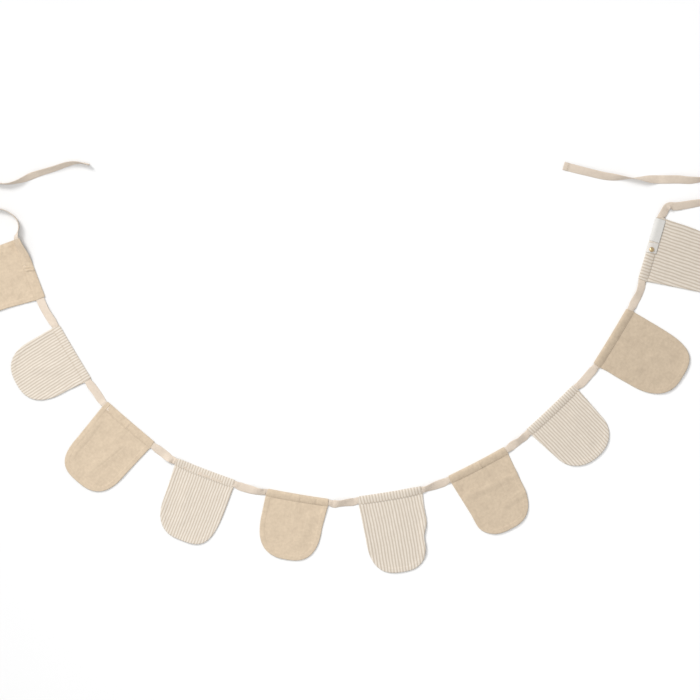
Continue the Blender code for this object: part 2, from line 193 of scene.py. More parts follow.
@dataclass(frozen=True)
class Pleat:
    """A place where the tape's right edge buckles up: its middle, its reach and its height."""

    x: float
    y: float
    reach: float
    height: float


@dataclass(frozen=True)
class Level:
    """A point of the casing's section: a share of the header's depth, a height, and a share of the curl."""

    v: float
    z: float
    curl: float


# The factor at the end of some rows darkens or lightens that flag's cloth: mostly painted light falloff across the
# layout, partly a dye difference.
FLAGS = (
    FlagSize("flag_01", Cloth.SAND, -473.8, 124.7, -69.5, 0.3, 17.0,
             Side(48.3, 48.1, 52, 2.3), Side(49.6, 43.9, 60, 2.4), 116, 0.6, 0.8, crush=1.7, painted_falloff_and_dye=0.97),
    FlagSize("flag_02", Cloth.STRIPED, -411.7, -2.5, -59.3, 0.4, 13.0,
             Side(47.7, 48.4, 50, 2.6), Side(47.9, 43.8, 43, 2.4), 100.3, 0.5, 0.5, Stripe(4.12, 0.5, -3.5, 0, 0.3),
             painted_falloff_and_dye=0.96),
    FlagSize("flag_03", Cloth.SAND, -329.2, -106.3, -40.7, 0.5, 12.4,
             Side(46.3, 44.2, 67, 3.1), Side(49.3, 46.5, 69, 2.6), 120.3, 0.45, 0.8),
    FlagSize("flag_04", Cloth.STRIPED, -216.5, -177.9, -20.8, 0.9, 12.4,
             Side(45.7, 42.7, 63, 2.4), Side(48.8, 49.3, 31, 3.8), 112.5, 0.35, 0.8, Stripe(4.1, -1.0, 1.0, 1.2, 1.4)),
    FlagSize("flag_05", Cloth.SAND, -77.8, -215.2, -9.6, 0.8, 11.2,
             Side(47.0, 48.9, 43, 2.7), Side(48.1, 44.1, 44, 2.7), 99.7, 0.85, 0.4, painted_falloff_and_dye=1.04),
    FlagSize("flag_06", Cloth.STRIPED, 61.9, -211.4, 9.3, 0.6, 12.3,
             Side(51.9, 49.4, 61, 2.9), Side(46.6, 42.2, 65, 2.5), 122, 0.45, 0.4, Stripe(4.55, -4.6, 1.6, 0.6, 1.6)),
    FlagSize("flag_07", Cloth.SAND, 190.5, -166.0, 27.6, 0.9, 12.1,
             Side(50.6, 45.3, 68, 2.8), Side(46.7, 44.2, 58, 2.5), 113.2, 0.8, 1.2),
    FlagSize("flag_08", Cloth.STRIPED, 301.2, -83.7, 43.7, 0.8, 12.1,
             Side(52.2, 47.4, 62, 2.1), Side(46.6, 44.1, 63, 2.2), 103, 0.64, 0.9, Stripe(4.2, -1.5, 0.6, 2.0, 1.5)),
    FlagSize("flag_09", Cloth.SAND, 390.0, 22.1, 58.8, 0.5, 12.4,
             Side(50.2, 48.0, 62, 2.4), Side(48.2, 48.7, 49, 3.5), 124.6, 0.86, 1.3, crush=1.5, painted_falloff_and_dye=0.955),
    FlagSize("flag_10", Cloth.STRIPED, 445.8, 153.9, 73.5, 0.2, 13.8,
             Side(50.6, 41.9, 92, 2.3), Side(49.0, 47.5, 40, 2.2), 126, 0.8, 1.0, Stripe(4.8, 2.4, 2.0, 0.4, 1.3),
             painted_falloff_and_dye=0.955),
)
LABEL_FLAG = FLAGS[-1]

WAVES = (
    Wave("flag_06", End.RIGHT, 53, 15, 2.2),
    Wave("flag_06", End.RIGHT, 75, 12, -4.2),
    Wave("flag_06", End.RIGHT, 95, 14, -2.2),
    Wave("flag_07", End.LEFT, 92, 10, 1.4),
    Wave("flag_09", End.LEFT, 24, 12, -0.8),
)

TURNED = (
    Turned("flag_01", End.LEFT, 0.0, 52),
    Turned("flag_04", End.LEFT, 0.3, 14),
    Turned("flag_06", End.RIGHT, 0.3, 16),
)

# Broad folds that lift both layers, and the thinner creases pressed into the upper one
FOLDS = (
    Crease("flag_01", ((-38, 30), (-36, 62)), 12, 1.6),
    Crease("flag_03", ((-36, 31), (-33, 92)), 12, 1.3),
    Crease("flag_03", ((16, 37), (4, 96)), 11, 1.2),
    Crease("flag_05", ((22, 34), (14, 74)), 13, 0.9),
    Crease("flag_06", ((39, 60), (36, 98)), 10, 1.6),
    Crease("flag_07", ((44, 44), (-37, 40)), 10, 1.4),
    Crease("flag_07", ((42, 74), (8, 78)), 9, 1.1),
    Crease("flag_09", ((-6, 28), (-20, 60)), 12, 1.1),
    Crease("flag_09", ((4, 70), (16, 92)), 12, 1.0),
    Crease("flag_02", ((10, 36), (-12, 68)), 13, 0.9),
    Crease("flag_04", ((-16, 40), (-8, 84)), 13, 0.8),
    Crease("flag_08", ((12, 34), (6, 76)), 12, 0.8),
    Crease("flag_10", ((30, 40), (22, 86)), 14, 0.9),
)
CREASES = (
    Crease("flag_01", ((-42, 35), (-34, 37)), 2.6, -0.6),
    Crease("flag_01", ((4.2, 2), (2.2, 7), (1.8, 11)), 2.6, 1.9),
    Crease("flag_01", ((1.8, 2), (-0.2, 7), (-0.6, 10)), 1.7, -1.1),
    Crease("flag_01", ((-1.8, 8), (-4.3, 14)), 2.2, 1.4),
    Crease("flag_01", ((-3.6, 7), (-6.2, 13)), 1.5, -0.9),
    Crease("flag_01", ((-14, 17.4), (46, 17.4)), 1.5, -0.45),
    Crease("flag_03", ((-38, 0), (-38, 13)), 1.3, -0.4),
    Crease("flag_03", ((-39.6, 0), (-39.6, 13)), 1.4, 0.5),
    Crease("flag_03", ((4, 0), (3, 13)), 1.3, -0.4),
    Crease("flag_03", ((2.4, 0), (1.4, 13)), 1.4, 0.5),
    Crease("flag_05", ((4, 0), (5, 12)), 1.3, -0.4),
    Crease("flag_05", ((2.4, 0), (3.4, 12)), 1.4, 0.5),
    Crease("flag_05", ((29, 1), (29, 11)), 2.2, -0.4),
    Crease("flag_07", ((3, 0), (2.6, 13)), 1.3, -0.4),
    Crease("flag_07", ((1.4, 0), (1, 13)), 1.4, 0.5),
    Crease("flag_09", ((5, 0), (5, 12)), 1.6, -0.4),
    Crease("flag_03", ((-30, 33), (-27, 60), (-28, 90)), 3.0, -0.35),
    Crease("flag_03", ((18, 36), (12, 70), (6, 96)), 1.8, -0.4),
    Crease("flag_05", ((3, 16), (5, 40)), 2.2, -0.25),
    Crease("flag_06", ((40, 70), (47, 76)), 2.2, -0.7),
    Crease("flag_07", ((46, 41), (12, 38), (-12, 37), (-38, 37)), 1.6, -0.45),
    Crease("flag_07", ((43, 72), (9, 76)), 1.6, -0.4),
    Crease("flag_09", ((-8, 24), (-2, 44)), 4.0, -0.4),
    Crease("flag_09", ((4, 74), (9, 79)), 4.0, -0.4),
    Crease("flag_09", ((-23, 52), (-19, 59)), 3.5, -0.35),
)

LEFT_TIE = (
    Spot(-390.3, 277.2, 0, 90), Spot(-399.0, 279.5, 0, 90), Spot(-409.5, 280.5, 0, 102),
    Spot(-423.0, 278.2, 0, 118), Spot(-444.0, 271.2, 0, 126), Spot(-462.0, 265.8, 0, 130),
    Spot(-478.5, 260.1, 0, 138), Spot(-489.0, 255.2, 0, 124), Spot(-499.8, 251.4, 0, 106),
    Spot(-514.5, 248.6, 0, 92), Spot(-530.0, 250.2, 0, 90), Spot(-548.0, 254.2, 0, 90),
    Spot(-570.0, 257.5, 0, 90), Spot(-592.0, 256.5, 0, 90), Spot(-610.0, 249.5, 0, 90),
    Spot(-619.0, 236.0, 0, 90), Spot(-613.0, 222.5, 0, 90), Spot(-596.0, 215.0, 0, 90),
    Spot(-572.0, 212.5, 0, 90), Spot(-546.0, 212.5, 0, 90), Spot(-525.0, 211.8, 0, 90),
    Spot(-509.5, 205.5, 0, 90), Spot(-499.0, 195.5, 0, 90), Spot(-495.6, 185.5, 0, 88),
    Spot(-497.6, 176.0, 0.6, 76),
)
RIGHT_TIE = (
    Spot(469.2, 203.6, 0.6, 12), Spot(472.0, 209.3, 1.0, 19), Spot(475.2, 214.2, 1.5, 19),
    Spot(480.8, 215.6, 1.5, 18), Spot(487.0, 215.2, 1.2, 16), Spot(501.3, 217.0, 0.5, 18),
    Spot(516.7, 219.6, 0, 28), Spot(529.0, 221.3, 0, 44), Spot(541.5, 223.0, 0, 66),
    Spot(557.0, 226.4, 0, 88), Spot(570.5, 232.2, 0, 90), Spot(576.5, 242.3, 0, 90),
    Spot(570.5, 251.6, 0, 90), Spot(557.0, 255.8, 0, 94), Spot(541.5, 255.8, 0, 106),
    Spot(525.0, 255.0, 0, 124), Spot(508.5, 254.3, 0, 146), Spot(501.0, 254.8, 0, 149),
    Spot(494.0, 255.6, 0, 159), Spot(472.2, 255.7, 0, 170), Spot(450.8, 256.1, 0, 200),
    Spot(435.0, 256.8, 0, 241), Spot(424.0, 257.2, 0, 263), Spot(414.0, 257.6, 0, 282),
    Spot(404.0, 258.2, 0, 302), Spot(393.0, 259.2, 0, 322), Spot(381.0, 260.9, 0, 330),
    Spot(357.0, 266.5, 0, 335), Spot(332.0, 272.9, 0, 345), Spot(320.1, 276.1, 0, 345),
)

# The tape between two flags, where it rolls a little or drifts towards the flags' side
KINKS = (
    Kink("flag_01", 0.36, 12, 1.4),
    Kink("flag_02", 0.50, -10, -0.4), Kink("flag_02", 0.85, -4, 0.2),
    Kink("flag_03", 0.40, 4, 0.5), Kink("flag_03", 0.66, -12, 0.9), Kink("flag_03", 0.80, -34, 1.0),
    Kink("flag_04", 0.12, 4, 1.2), Kink("flag_04", 0.50, 8, 2.2), Kink("flag_04", 0.88, 32, 1.5),
    Kink("flag_05", 0.12, 6, 2.2), Kink("flag_05", 0.32, 34, 2.4), Kink("flag_05", 0.70, 22, 1.6),
    Kink("flag_05", 0.90, 6, 1.4),
    Kink("flag_06", 0.12, 38, 0.4), Kink("flag_06", 0.50, 14, 0.7), Kink("flag_06", 0.86, 3, 0.9),
    Kink("flag_07", 0.30, 6, 0.3), Kink("flag_07", 0.56, 32, 1.1), Kink("flag_07", 0.88, 10, 1.0),
    Kink("flag_08", 0.14, -3, 1.5), Kink("flag_08", 0.60, -3, 1.1),
    Kink("flag_09", 0.30, 3, 1.6), Kink("flag_09", 0.60, 20, 2.9), Kink("flag_09", 0.88, 8, 1.8),
)

# Where the tape turns sharply above the label, its inner edge stands up
PLEATS = (Pleat(478.4, 215.3, 5.0, 6.4),)
PLEAT_DRAWN = 0.4

# Casing section, from the flap's edge over the stitch groove and the top fold and back under
CASING_OUTSIDE = (
    Level(1.0, 2.5, 0), Level(0.965, 2.75, 0), Level(0.925, 2.65, 0), Level(0.87, 3.0, 0.15),
    Level(0.705, 3.5, 0.5), Level(0.525, 3.83, 0.85), Level(0.345, 4.03, 1), Level(0.155, 3.8, 0.7),
    Level(0.033, 2.8, 0.2), Level(0, 1.9, 0), Level(0.066, 0.4, 0), Level(0.2, 0, 0), Level(1.0, 0, 0),
)
# The level at the top fold, where the upper side ends
FOLD_LEVEL = 9
# Tunnel for the tape inside it, as many levels
CASING_INSIDE = (
    Level(0.88, 1.5, 0), Level(0.88, 1.7, 0), Level(0.88, 1.9, 0), Level(0.85, 2.1, 0), Level(0.69, 2.6, 0.5),
    Level(0.515, 2.9, 0.85), Level(0.345, 3.0, 1), Level(0.165, 2.7, 0.5), Level(0.09, 2.4, 0),
    Level(0.09, 1.9, 0), Level(0.09, WALL, 0), Level(0.515, WALL, 0), Level(0.88, WALL, 0),
)


def smooth(t: np.ndarray | float) -> np.ndarray:
    """Ease from 0 to 1 with level ends.

    Args:
        t: Position, which is held between 0 and 1.

    Returns:
        The eased value.
    """
    t = np.clip(t, 0.0, 1.0)
    return t * t * (3.0 - 2.0 * t)


def soft_noise(x: np.ndarray, y: np.ndarray, step: float, seed: int) -> np.ndarray:
    """Smooth random heights from -1 to 1 over a plane.

    Args:
        x: First coordinate of each point.
        y: Second coordinate of each point.
        step: Distance between the random values.
        seed: Number that fixes the random values.

    Returns:
        One height for each point.
    """
    cells = 64
    lattice = np.random.default_rng(seed).uniform(-1.0, 1.0, (cells, cells))
    column, row = np.floor(x / step), np.floor(y / step)
    fx, fy = smooth(x / step - column), smooth(y / step - row)
    c0, r0 = column.astype(int) % cells, row.astype(int) % cells
    c1, r1 = (c0 + 1) % cells, (r0 + 1) % cells
    low = lattice[r0, c0] * (1 - fx) + lattice[r0, c1] * fx
    high = lattice[r1, c0] * (1 - fx) + lattice[r1, c1] * fx
    return low * (1 - fy) + high * fy


def line_distance(u: np.ndarray, v: np.ndarray, path: np.ndarray) -> np.ndarray:
    """Distance from each place to a line of points.

    Args:
        u: First coordinate of each place.
        v: Second coordinate of each place.
        path: Points of the line, one in each row.

    Returns:
        The distance for each place.
    """
    best = np.full(u.shape, np.inf)
    for (u1, v1), (u2, v2) in zip(path, path[1:]):
        run_u, run_v = u2 - u1, v2 - v1
        share = ((u - u1) * run_u + (v - v1) * run_v) / (run_u * run_u + run_v * run_v)
        share = np.clip(share, 0.0, 1.0)
        best = np.minimum(best, np.hypot(u - u1 - run_u * share, v - v1 - run_v * share))
    return best


def resample(points: np.ndarray, shares: np.ndarray) -> np.ndarray:
    """Places at given shares of a line's length.

    Args:
        points: Points of the line, one in each row.
        shares: Shares of the length, from 0 to 1.

    Returns:
        One place for each share.
    """
    steps = np.hypot(*np.diff(points, axis=0).T)
    walked = np.concatenate([[0.0], np.cumsum(steps)])
    return np.stack([np.interp(shares * walked[-1], walked, points[:, k]) for k in (0, 1)], axis=1)


def world(x: np.ndarray, y: np.ndarray, z: np.ndarray) -> np.ndarray:
    """World points, in metres, of places in the layout, in millimetres."""
    return np.stack(np.broadcast_arrays(x - LAYOUT_X, y - LAYOUT_Y, z), axis=-1) * MM


def spline(points: np.ndarray, per_step: int) -> np.ndarray:
    """Smooth line through points.

    Args:
        points: Points of the line, one in each row.
        per_step: Pieces that each step between two points is cut into.

    Returns:
        The finer line, which passes through every given point.
    """
    padded = np.vstack([2 * points[0] - points[1], points, 2 * points[-1] - points[-2]])
    shares = np.arange(per_step)[:, None] / per_step
    found = []
    for a, b, c, d in zip(padded, padded[1:], padded[2:], padded[3:]):
        bend = (2 * a - 5 * b + 4 * c - d) * shares ** 2 + (3 * b - a - 3 * c + d) * shares ** 3
        found.append(b + 0.5 * ((c - a) * shares + bend))
    return np.vstack(found + [points[-1:]])


class MeshMaker:
    """Gathers grids of points and faces, with cloth coordinates, into one mesh."""

    def __init__(self) -> None:
        """Start with nothing."""
        self.points: list[np.ndarray] = []
        self.cloth: list[np.ndarray] = []
        self.faces: list[np.ndarray] = []
        self.count = 0

    def add_grid(self, points: np.ndarray, cloth: np.ndarray) -> np.ndarray:
        """Add a grid of points.

        Args:
            points: World points, rows by columns by 3.
            cloth: Cloth coordinates in metres, rows by columns by 2.

        Returns:
            The points' numbers, rows by columns.
        """
        rows, columns = points.shape[:2]
        numbers = np.arange(rows * columns).reshape(rows, columns) + self.count
        self.points.append(points.reshape(-1, 3))
        self.cloth.append(cloth.reshape(-1, 2))
        self.count += rows * columns
        return numbers

    def skin(self, numbers: np.ndarray) -> None:
        """Fill a grid of point numbers with four-sided faces."""
        corners = (numbers[:-1, :-1], numbers[1:, :-1], numbers[1:, 1:], numbers[:-1, 1:])
        self.faces.append(np.stack([c.ravel() for c in corners], axis=1))

    def close(self, ring: np.ndarray) -> None:
        """Fill a ring of an even count of points with a flat cap."""
        half = len(ring) // 2
        self.skin(np.stack([ring[:half], ring[half:][::-1]]))

    def build(self, name: str, material: bpy.types.Material, slot: str) -> bpy.types.Object:
        """Make the object, which rides with the bunting.

        Args:
            name: The piece's name.
            material: Its finish.
            slot: The record's slot of that finish; it is not used.

        Returns:
            The new object.
        """
        mesh = bpy.data.meshes.new(name)
        points = np.vstack(self.points)
        mesh.from_pydata(points.tolist(), [], np.vstack(self.faces).tolist())
        layer = mesh.uv_layers.new(name="cloth")
        corner_points = np.empty(len(mesh.loops), dtype=np.int32)
        mesh.loops.foreach_get("vertex_index", corner_points)
        layer.data.foreach_set("uv", np.vstack(self.cloth)[corner_points].astype(np.float32).ravel())
        mesh.validate()
        work = bmesh.new()
        work.from_mesh(mesh)
        bmesh.ops.recalc_face_normals(work, faces=work.faces)
        work.to_mesh(mesh)
        work.free()
        mesh.shade_smooth()
        mesh.materials.append(material)
        piece = bpy.data.objects.new(name, mesh)
        bpy.context.scene.collection.objects.link(piece)
        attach(piece, BODY)
        LOG.info("%s: %d points, %d faces", name, len(mesh.vertices), len(mesh.polygons))
        return piece


class FlagGeometry:
    """Outline, casing and placing of one flag."""

    OUTLINE_STEPS = 60

    def __init__(self, size: FlagSize) -> None:
        """Keep the flag's sizes.

        Args:
            size: The flag's row of the table.
        """
        self.size = size
        self.turns = [row for row in TURNED if row.flag == size.name]
        self.seed = 100 * int(size.name[-2:])

    def side(self, end: End) -> Side:
        """The left or right side's sizes."""
        return self.size.left if end is End.LEFT else self.size.right

    def header_edge(self, end: End, v: np.ndarray | float) -> np.ndarray:
        """The side's u at a height above its round corner."""
        side = self.side(end)
        width = side.top + (side.low - side.top) * v / side.shoulder
        return end.value * (width - HEADER_INSET * np.maximum(0.0, 1.0 - v / self.size.header))

    def turned_up(self, u: np.ndarray, v: np.ndarray) -> np.ndarray:
        """Angle in radians by which the header is turned up at each place."""
        height = np.minimum(v, self.size.header)
        left, right = self.header_edge(End.LEFT, height), self.header_edge(End.RIGHT, height)
        along = 2.0 * (u - left) / (right - left) - 1.0
        angle = np.zeros(np.broadcast(u, v).shape)
        for row in self.turns:
            angle = angle + row.angle * smooth((row.end.value * along - row.begins) / (1.0 - row.begins))
        return np.radians(angle)

    def fold_height(self, u: np.ndarray, v: np.ndarray, rows: tuple[Crease, ...]) -> np.ndarray:
        """Sum of the flag's ridges and troughs at each place."""
        height = np.zeros(np.broadcast(u, v).shape)
        for row in rows:
            if row.flag == self.size.name:
                distance = line_distance(u, v, np.array(row.path, dtype=float))
                height = height + row.height * (1.0 - smooth(distance / row.width))
        return height

    def place(self, u: np.ndarray, v: np.ndarray, z: np.ndarray) -> np.ndarray:
        """World points of places in the flag's own frame.

        Args:
            u: Along the header.
            v: Down from the top fold.
            z: Up.

        Returns:
            Points in metres, with a last axis of 3.
        """
        size = self.size
        u, v, z = np.broadcast_arrays(np.asarray(u, float), np.asarray(v, float), np.asarray(z, float))
        full = self.turned_up(u, v)
        angle = full * (1.0 - smooth((v - size.header) / HINGE_REACH))
        drawn = DRAWN * np.sin(full) * (1.0 - smooth((v - size.header) / DRAWN_REACH))
        above = np.minimum(v - size.header, 0.0)
        below = np.maximum(v - size.header, 0.0)
        down = size.header + above * np.cos(angle) + below + z * np.sin(angle)
        raised = z * np.cos(angle) - above * np.sin(angle)
        down = down + size.bow * (1.0 - (u / BOW_SPAN) ** 2) - drawn
        turn = math.radians(size.turn)
        x = size.x + u * math.cos(turn) + down * math.sin(turn)
        y = size.y + u * math.sin(turn) - down * math.cos(turn)
        return world(x, y, raised)

    def round_corner(self, end: End, angles: np.ndarray) -> np.ndarray:
        """Places on the round corner, from its shoulder at 0 to the flag's tip at a quarter turn."""
        side = self.side(end)
        power = 2.0 / side.corner
        u = end.value * side.low * np.cos(angles) ** power
        v = side.shoulder + (self.size.drop - side.shoulder) * np.sin(angles) ** power
        return np.stack([u, v], axis=1)

    def side_line(self, end: End) -> np.ndarray:
        """Outline of one side, from the stitch line to half way round its corner."""
        side = self.side(end)
        v = np.linspace(self.size.header, side.shoulder, self.OUTLINE_STEPS, endpoint=False)
        straight = np.stack([self.header_edge(end, v), v], axis=1)
        angles = np.linspace(0.0, math.pi / 4, self.OUTLINE_STEPS + 1)
        line = np.vstack([straight, self.round_corner(end, angles)])
        for row in WAVES:
            if row.flag == self.size.name and row.end is end:
                line[:, 0] += end.value * row.push * np.exp(-(((line[:, 1] - row.at) / row.reach) ** 2))
        return line

    def bottom_line(self, left: np.ndarray, right: np.ndarray) -> np.ndarray:
        """Outline of the lower end between its two corners."""
        angles = np.linspace(math.pi / 4, math.pi / 2, self.OUTLINE_STEPS)[1:-1]
        down = self.round_corner(End.LEFT, angles)
        up = self.round_corner(End.RIGHT, angles[::-1])
        return np.vstack([left[-1:], down, [[0.0, self.size.drop]], up, right[-1:]])

    def tape_curl(self) -> tuple[float, float]:
        """Width and curl of the tape where it lies in this flag's casing."""
        width = min(TAPE_IN_CASING * self.size.header, TAPE_WIDTH)
        return width, self.size.puff * CURL * float(smooth((TAPE_WIDTH - width) / CURL_REACH))

    def casing_section(self, levels: tuple[Level, ...]) -> np.ndarray:
        """Places (v, z) of the casing's outside or inside, which rise above FOLD_MIDDLE by the flag's puff."""
        curl, puff = self.tape_curl()[1], self.size.puff
        found = [(row.v * self.size.header, row.z, row.curl * curl) for row in levels]
        return np.array([(v, z + max(0.0, z - FOLD_MIDDLE) * (puff - 1.0) + rise) for v, z, rise in found])


class FlagPiece:
    """One flag: two layers sewn round the edge and turned, with its header sewn down as a casing."""

    ACROSS = 128
    DOWN = 100
    SECTION_STEPS = 3
    RIM_WIDTH = 6.3
    RIM_EASE = 1.8
    MIDDLE_THICK = 1.75
    RIM_THICK = 2.15
    EDGE_ROUND = 1.3
    EDGE_LEVEL = 0.95
    MOUTH_ROUND = 0.5
    FOLD_EASE = 1.5
    TIP_REACH = 46.0

    def __init__(self, size: FlagSize) -> None:
        """Keep the flag's geometry.

        Args:
            size: The flag's row of the table.
        """
        self.size = size
        self.shape = FlagGeometry(size)

    def crinkle(self, u: np.ndarray, v: np.ndarray) -> np.ndarray:
        """Small uneven heights of the cloth's face."""
        seed = self.shape.seed
        broad = soft_noise(u + 400, v + 400, 15.0, seed) * 0.15
        middle = soft_noise(u + 400, (v + 400) * 0.8, 5.5, seed + 1) * 0.13
        fine = soft_noise((u + 400) * 0.7, v + 400, 2.6, seed + 2) * 0.06
        return (broad + middle + fine) * self.size.crush

    def cloth_place(self, u: np.ndarray, v: np.ndarray, shift: float = 0.0) -> np.ndarray:
        """Cloth coordinates in metres, which the weave and the stripes follow.

        Args:
            u: Along the header.
            v: Down from the top fold.
            shift: Sideways shift of the pattern.

        Returns:
            Coordinates with a last axis of 2.
        """
        across, down = np.broadcast_arrays(np.asarray(u, float), np.asarray(v, float))
        stripe = self.size.stripe
        if stripe:
            top, low = math.tan(math.radians(stripe.lean_top)), math.tan(math.radians(stripe.lean_low))
            across = across + top * down + 0.5 * (low - top) * down ** 2 / self.size.drop + stripe.phase
        return np.stack([across + shift, down], axis=-1) * MM

    def body_grid(self) -> tuple[np.ndarray, np.ndarray, np.ndarray]:
        """Places of the body's points.

        Returns:
            Their u, their v, and their distance from the sewn edge.
        """
        shape = self.shape
        left_line, right_line = shape.side_line(End.LEFT), shape.side_line(End.RIGHT)
        bottom_line = shape.bottom_line(left_line, right_line)
        x = np.linspace(0.0, 1.0, self.ACROSS + 1)
        s = x - 0.45 * np.sin(2 * math.pi * x) / (2 * math.pi)
        y = np.linspace(0.0, 1.0, self.DOWN + 1)
        t = y + 0.6 * np.sin(math.pi * y) / math.pi
        left, right, bottom = resample(left_line, t), resample(right_line, t), resample(bottom_line, s)
        s3, t3 = s[None, :, None], t[:, None, None]
        top = left[0] * (1 - s3) + right[0] * s3
        corners = top * (1 - t3) + (left[-1] * (1 - s3) + right[-1] * s3) * t3
        grid = top * (1 - t3) + bottom[None] * t3 + left[:, None] * (1 - s3) + right[:, None] * s3 - corners
        outline = np.vstack([left_line, bottom_line[1:-1], right_line[::-1]])[::3]
        u, v = grid[..., 0], grid[..., 1]
        return u, v, line_distance(u, v, outline)

    def body_heights(self, u: np.ndarray, v: np.ndarray, edge: np.ndarray) -> tuple[np.ndarray, np.ndarray]:
        """Heights of the upper and lower face over the body.

        Args:
            u: Along the header.
            v: Down from the top fold.
            edge: Distance from the sewn edge.

        Returns:
            Upper and lower heights.
        """
        shape = self.shape
        below = smooth((v - self.size.header) / 3.0)
        rise = shape.fold_height(u, v, FOLDS) * smooth((v - self.size.header) / 10.0)
        rim = 1.0 - smooth((edge - self.RIM_WIDTH) / self.RIM_EASE)
        thick = self.MIDDLE_THICK + (self.RIM_THICK - self.MIDDLE_THICK) * rim
        lift = 0.5 * (1 + soft_noise(u + 400, v + 400, 26.0, shape.seed + 5)) * (1 - smooth(edge / 14.0)) * below
        lift = lift + self.size.tip_lift * smooth((v - self.size.drop + self.TIP_REACH) / self.TIP_REACH) ** 2
        pressed = shape.fold_height(u, v, CREASES)
        upper = thick + self.crinkle(u, v) * below + pressed * below
        roll = np.sqrt(np.maximum(0.0, 1.0 - (1.0 - np.clip(edge / self.EDGE_ROUND, 0, 1)) ** 2))
        roll = 1.0 - (1.0 - roll) * below
        upper = self.EDGE_LEVEL + (upper - self.EDGE_LEVEL) * roll
        lower = self.EDGE_LEVEL * (1.0 - roll)
        return upper + rise + lift, lower + rise + lift

    def casing_grid(self, outside: bool) -> tuple[np.ndarray, np.ndarray, np.ndarray]:
        """Places of the casing's points, a column for each of the body's columns.

        Args:
            outside: Whether the outer face is meant, and not the tunnel.

        Returns:
            u, v and z, rows round the section by columns along the header.
        """
        shape = self.shape
        x = np.linspace(0.0, 1.0, self.ACROSS + 1)
        s = x - 0.45 * np.sin(2 * math.pi * x) / (2 * math.pi)
        if outside:
            section = spline(shape.casing_section(CASING_OUTSIDE), self.SECTION_STEPS)
            section[:, 0] = np.clip(section[:, 0], 0.0, self.size.header)
            section[:, 1] = np.maximum(section[:, 1], 0.0)
        else:
            corners = shape.casing_section(CASING_INSIDE)
            steps = np.arange(len(corners) * self.SECTION_STEPS - self.SECTION_STEPS + 1) / self.SECTION_STEPS
            section = np.stack([np.interp(steps, np.arange(len(corners)), corners[:, k]) for k in (0, 1)], axis=1)
        v = section[:, :1]
        left, right = shape.header_edge(End.LEFT, v), shape.header_edge(End.RIGHT, v)
        u = left + (right - left) * s[None, :]
        return u, np.broadcast_to(v, u.shape), np.broadcast_to(section[:, 1:], u.shape)

    def build(self, material: bpy.types.Material) -> bpy.types.Object:
        """Make the flag.

        Args:
            material: Its cloth's finish.

        Returns:
            The flag's object.
        """
        shape, maker = self.shape, MeshMaker()
        u, v, edge = self.body_grid()
        upper, lower = self.body_heights(u, v, edge)
        top = maker.add_grid(shape.place(u, v, upper), self.cloth_place(u, v))
        base = maker.add_grid(shape.place(u, v, lower), self.cloth_place(u, v))
        cu, cv, cz = self.casing_grid(outside=True)
        shift = self.size.stripe.header_shift if self.size.stripe else 0.0
        ripple = 0.12 * soft_noise(cu + 400, cv * 0.3 + 40, 4.2, shape.seed + 3)
        ripple = ripple + 0.16 * soft_noise(cu + 400, cv * 0.2 + 40, 11.0, shape.seed + 4)
        crown = np.sin(math.pi * np.linspace(0.0, 1.0, len(cz)))[:, None]
        upper_side = np.arange(len(cz))[:, None] < FOLD_LEVEL * self.SECTION_STEPS
        pressed = shape.fold_height(cu, cv, CREASES) * upper_side * smooth(cv / self.FOLD_EASE)
        cz = cz + ripple * crown * (cz > 1.0) + pressed
        around = maker.add_grid(shape.place(cu, cv, cz)[1:-1], self.cloth_place(cu, cv, shift)[1:-1])
        wrap = np.vstack([top[:1], around, base[:1]])
        iu, iv, iz = self.casing_grid(outside=False)
        tunnel = maker.add_grid(shape.place(iu, iv, iz), self.cloth_place(iu, iv))
        maker.skin(top)
        maker.skin(base)
        maker.skin(wrap)
        maker.skin(np.vstack([tunnel, tunnel[:1]]))
        for column in (0, -1):
            maker.skin(np.stack([top[:, column], base[:, column]]))
            end = -1.0 if column == 0 else 1.0
            middle_u = (cu[:, column] + iu[:, column]) / 2 + end * self.MOUTH_ROUND
            middle_v, middle_z = (cv[:, column] + iv[:, column]) / 2, (cz[:, column] + iz[:, column]) / 2
            lip = maker.add_grid(
                shape.place(middle_u, middle_v, middle_z)[None], self.cloth_place(middle_u, middle_v)[None]
            )
            ring = np.stack([wrap[:, column], lip[0], tunnel[:, column]])
            maker.skin(np.hstack([ring, ring[:, :1]]))
        maker.skin(np.stack([top[-1], base[-1]]))
        return maker.build(self.size.name + "_cloth", material, self.size.cloth.value)


@dataclass(frozen=True)
class Stitch:
    """One stitch: a short thread with round ends, half sunk into the cloth."""

    length: float
    radius: float
    sides: int = 8
    rings: int = 7

    def form(self) -> tuple[np.ndarray, np.ndarray, np.ndarray]:
        """Places of the thread's points: along it, across it, and up from the cloth's face."""
        share = np.linspace(0.0, 1.0, self.rings)[:, None]
        bulge = np.sqrt(np.clip(1.0 - (2.0 * share - 1.0) ** 4, 0.0, 1.0)) * 0.92 + 0.08
        turn = np.linspace(0.0, 2 * math.pi, self.sides, endpoint=False)
        up = 0.02 + self.radius * (0.9 * bulge * np.sin(turn) + 0.5 * bulge - 0.3)
        return share * self.length + 0.0 * turn, self.radius * bulge * np.cos(turn), up

    def add(self, maker: MeshMaker, points: np.ndarray, along: np.ndarray, across: np.ndarray) -> None:
        """Add the closed thread to a mesh.

        Args:
            maker: The mesh.
            points: World points of the thread's rings.
            along: Place of each point along the seam, in millimetres.
            across: Place of each point across the seam, in millimetres.
        """
        ring = maker.add_grid(points, np.stack([along, across], axis=-1) * MM)
        maker.skin(np.hstack([ring, ring[:, :1]]))
        maker.close(ring[0])
        maker.close(ring[-1])


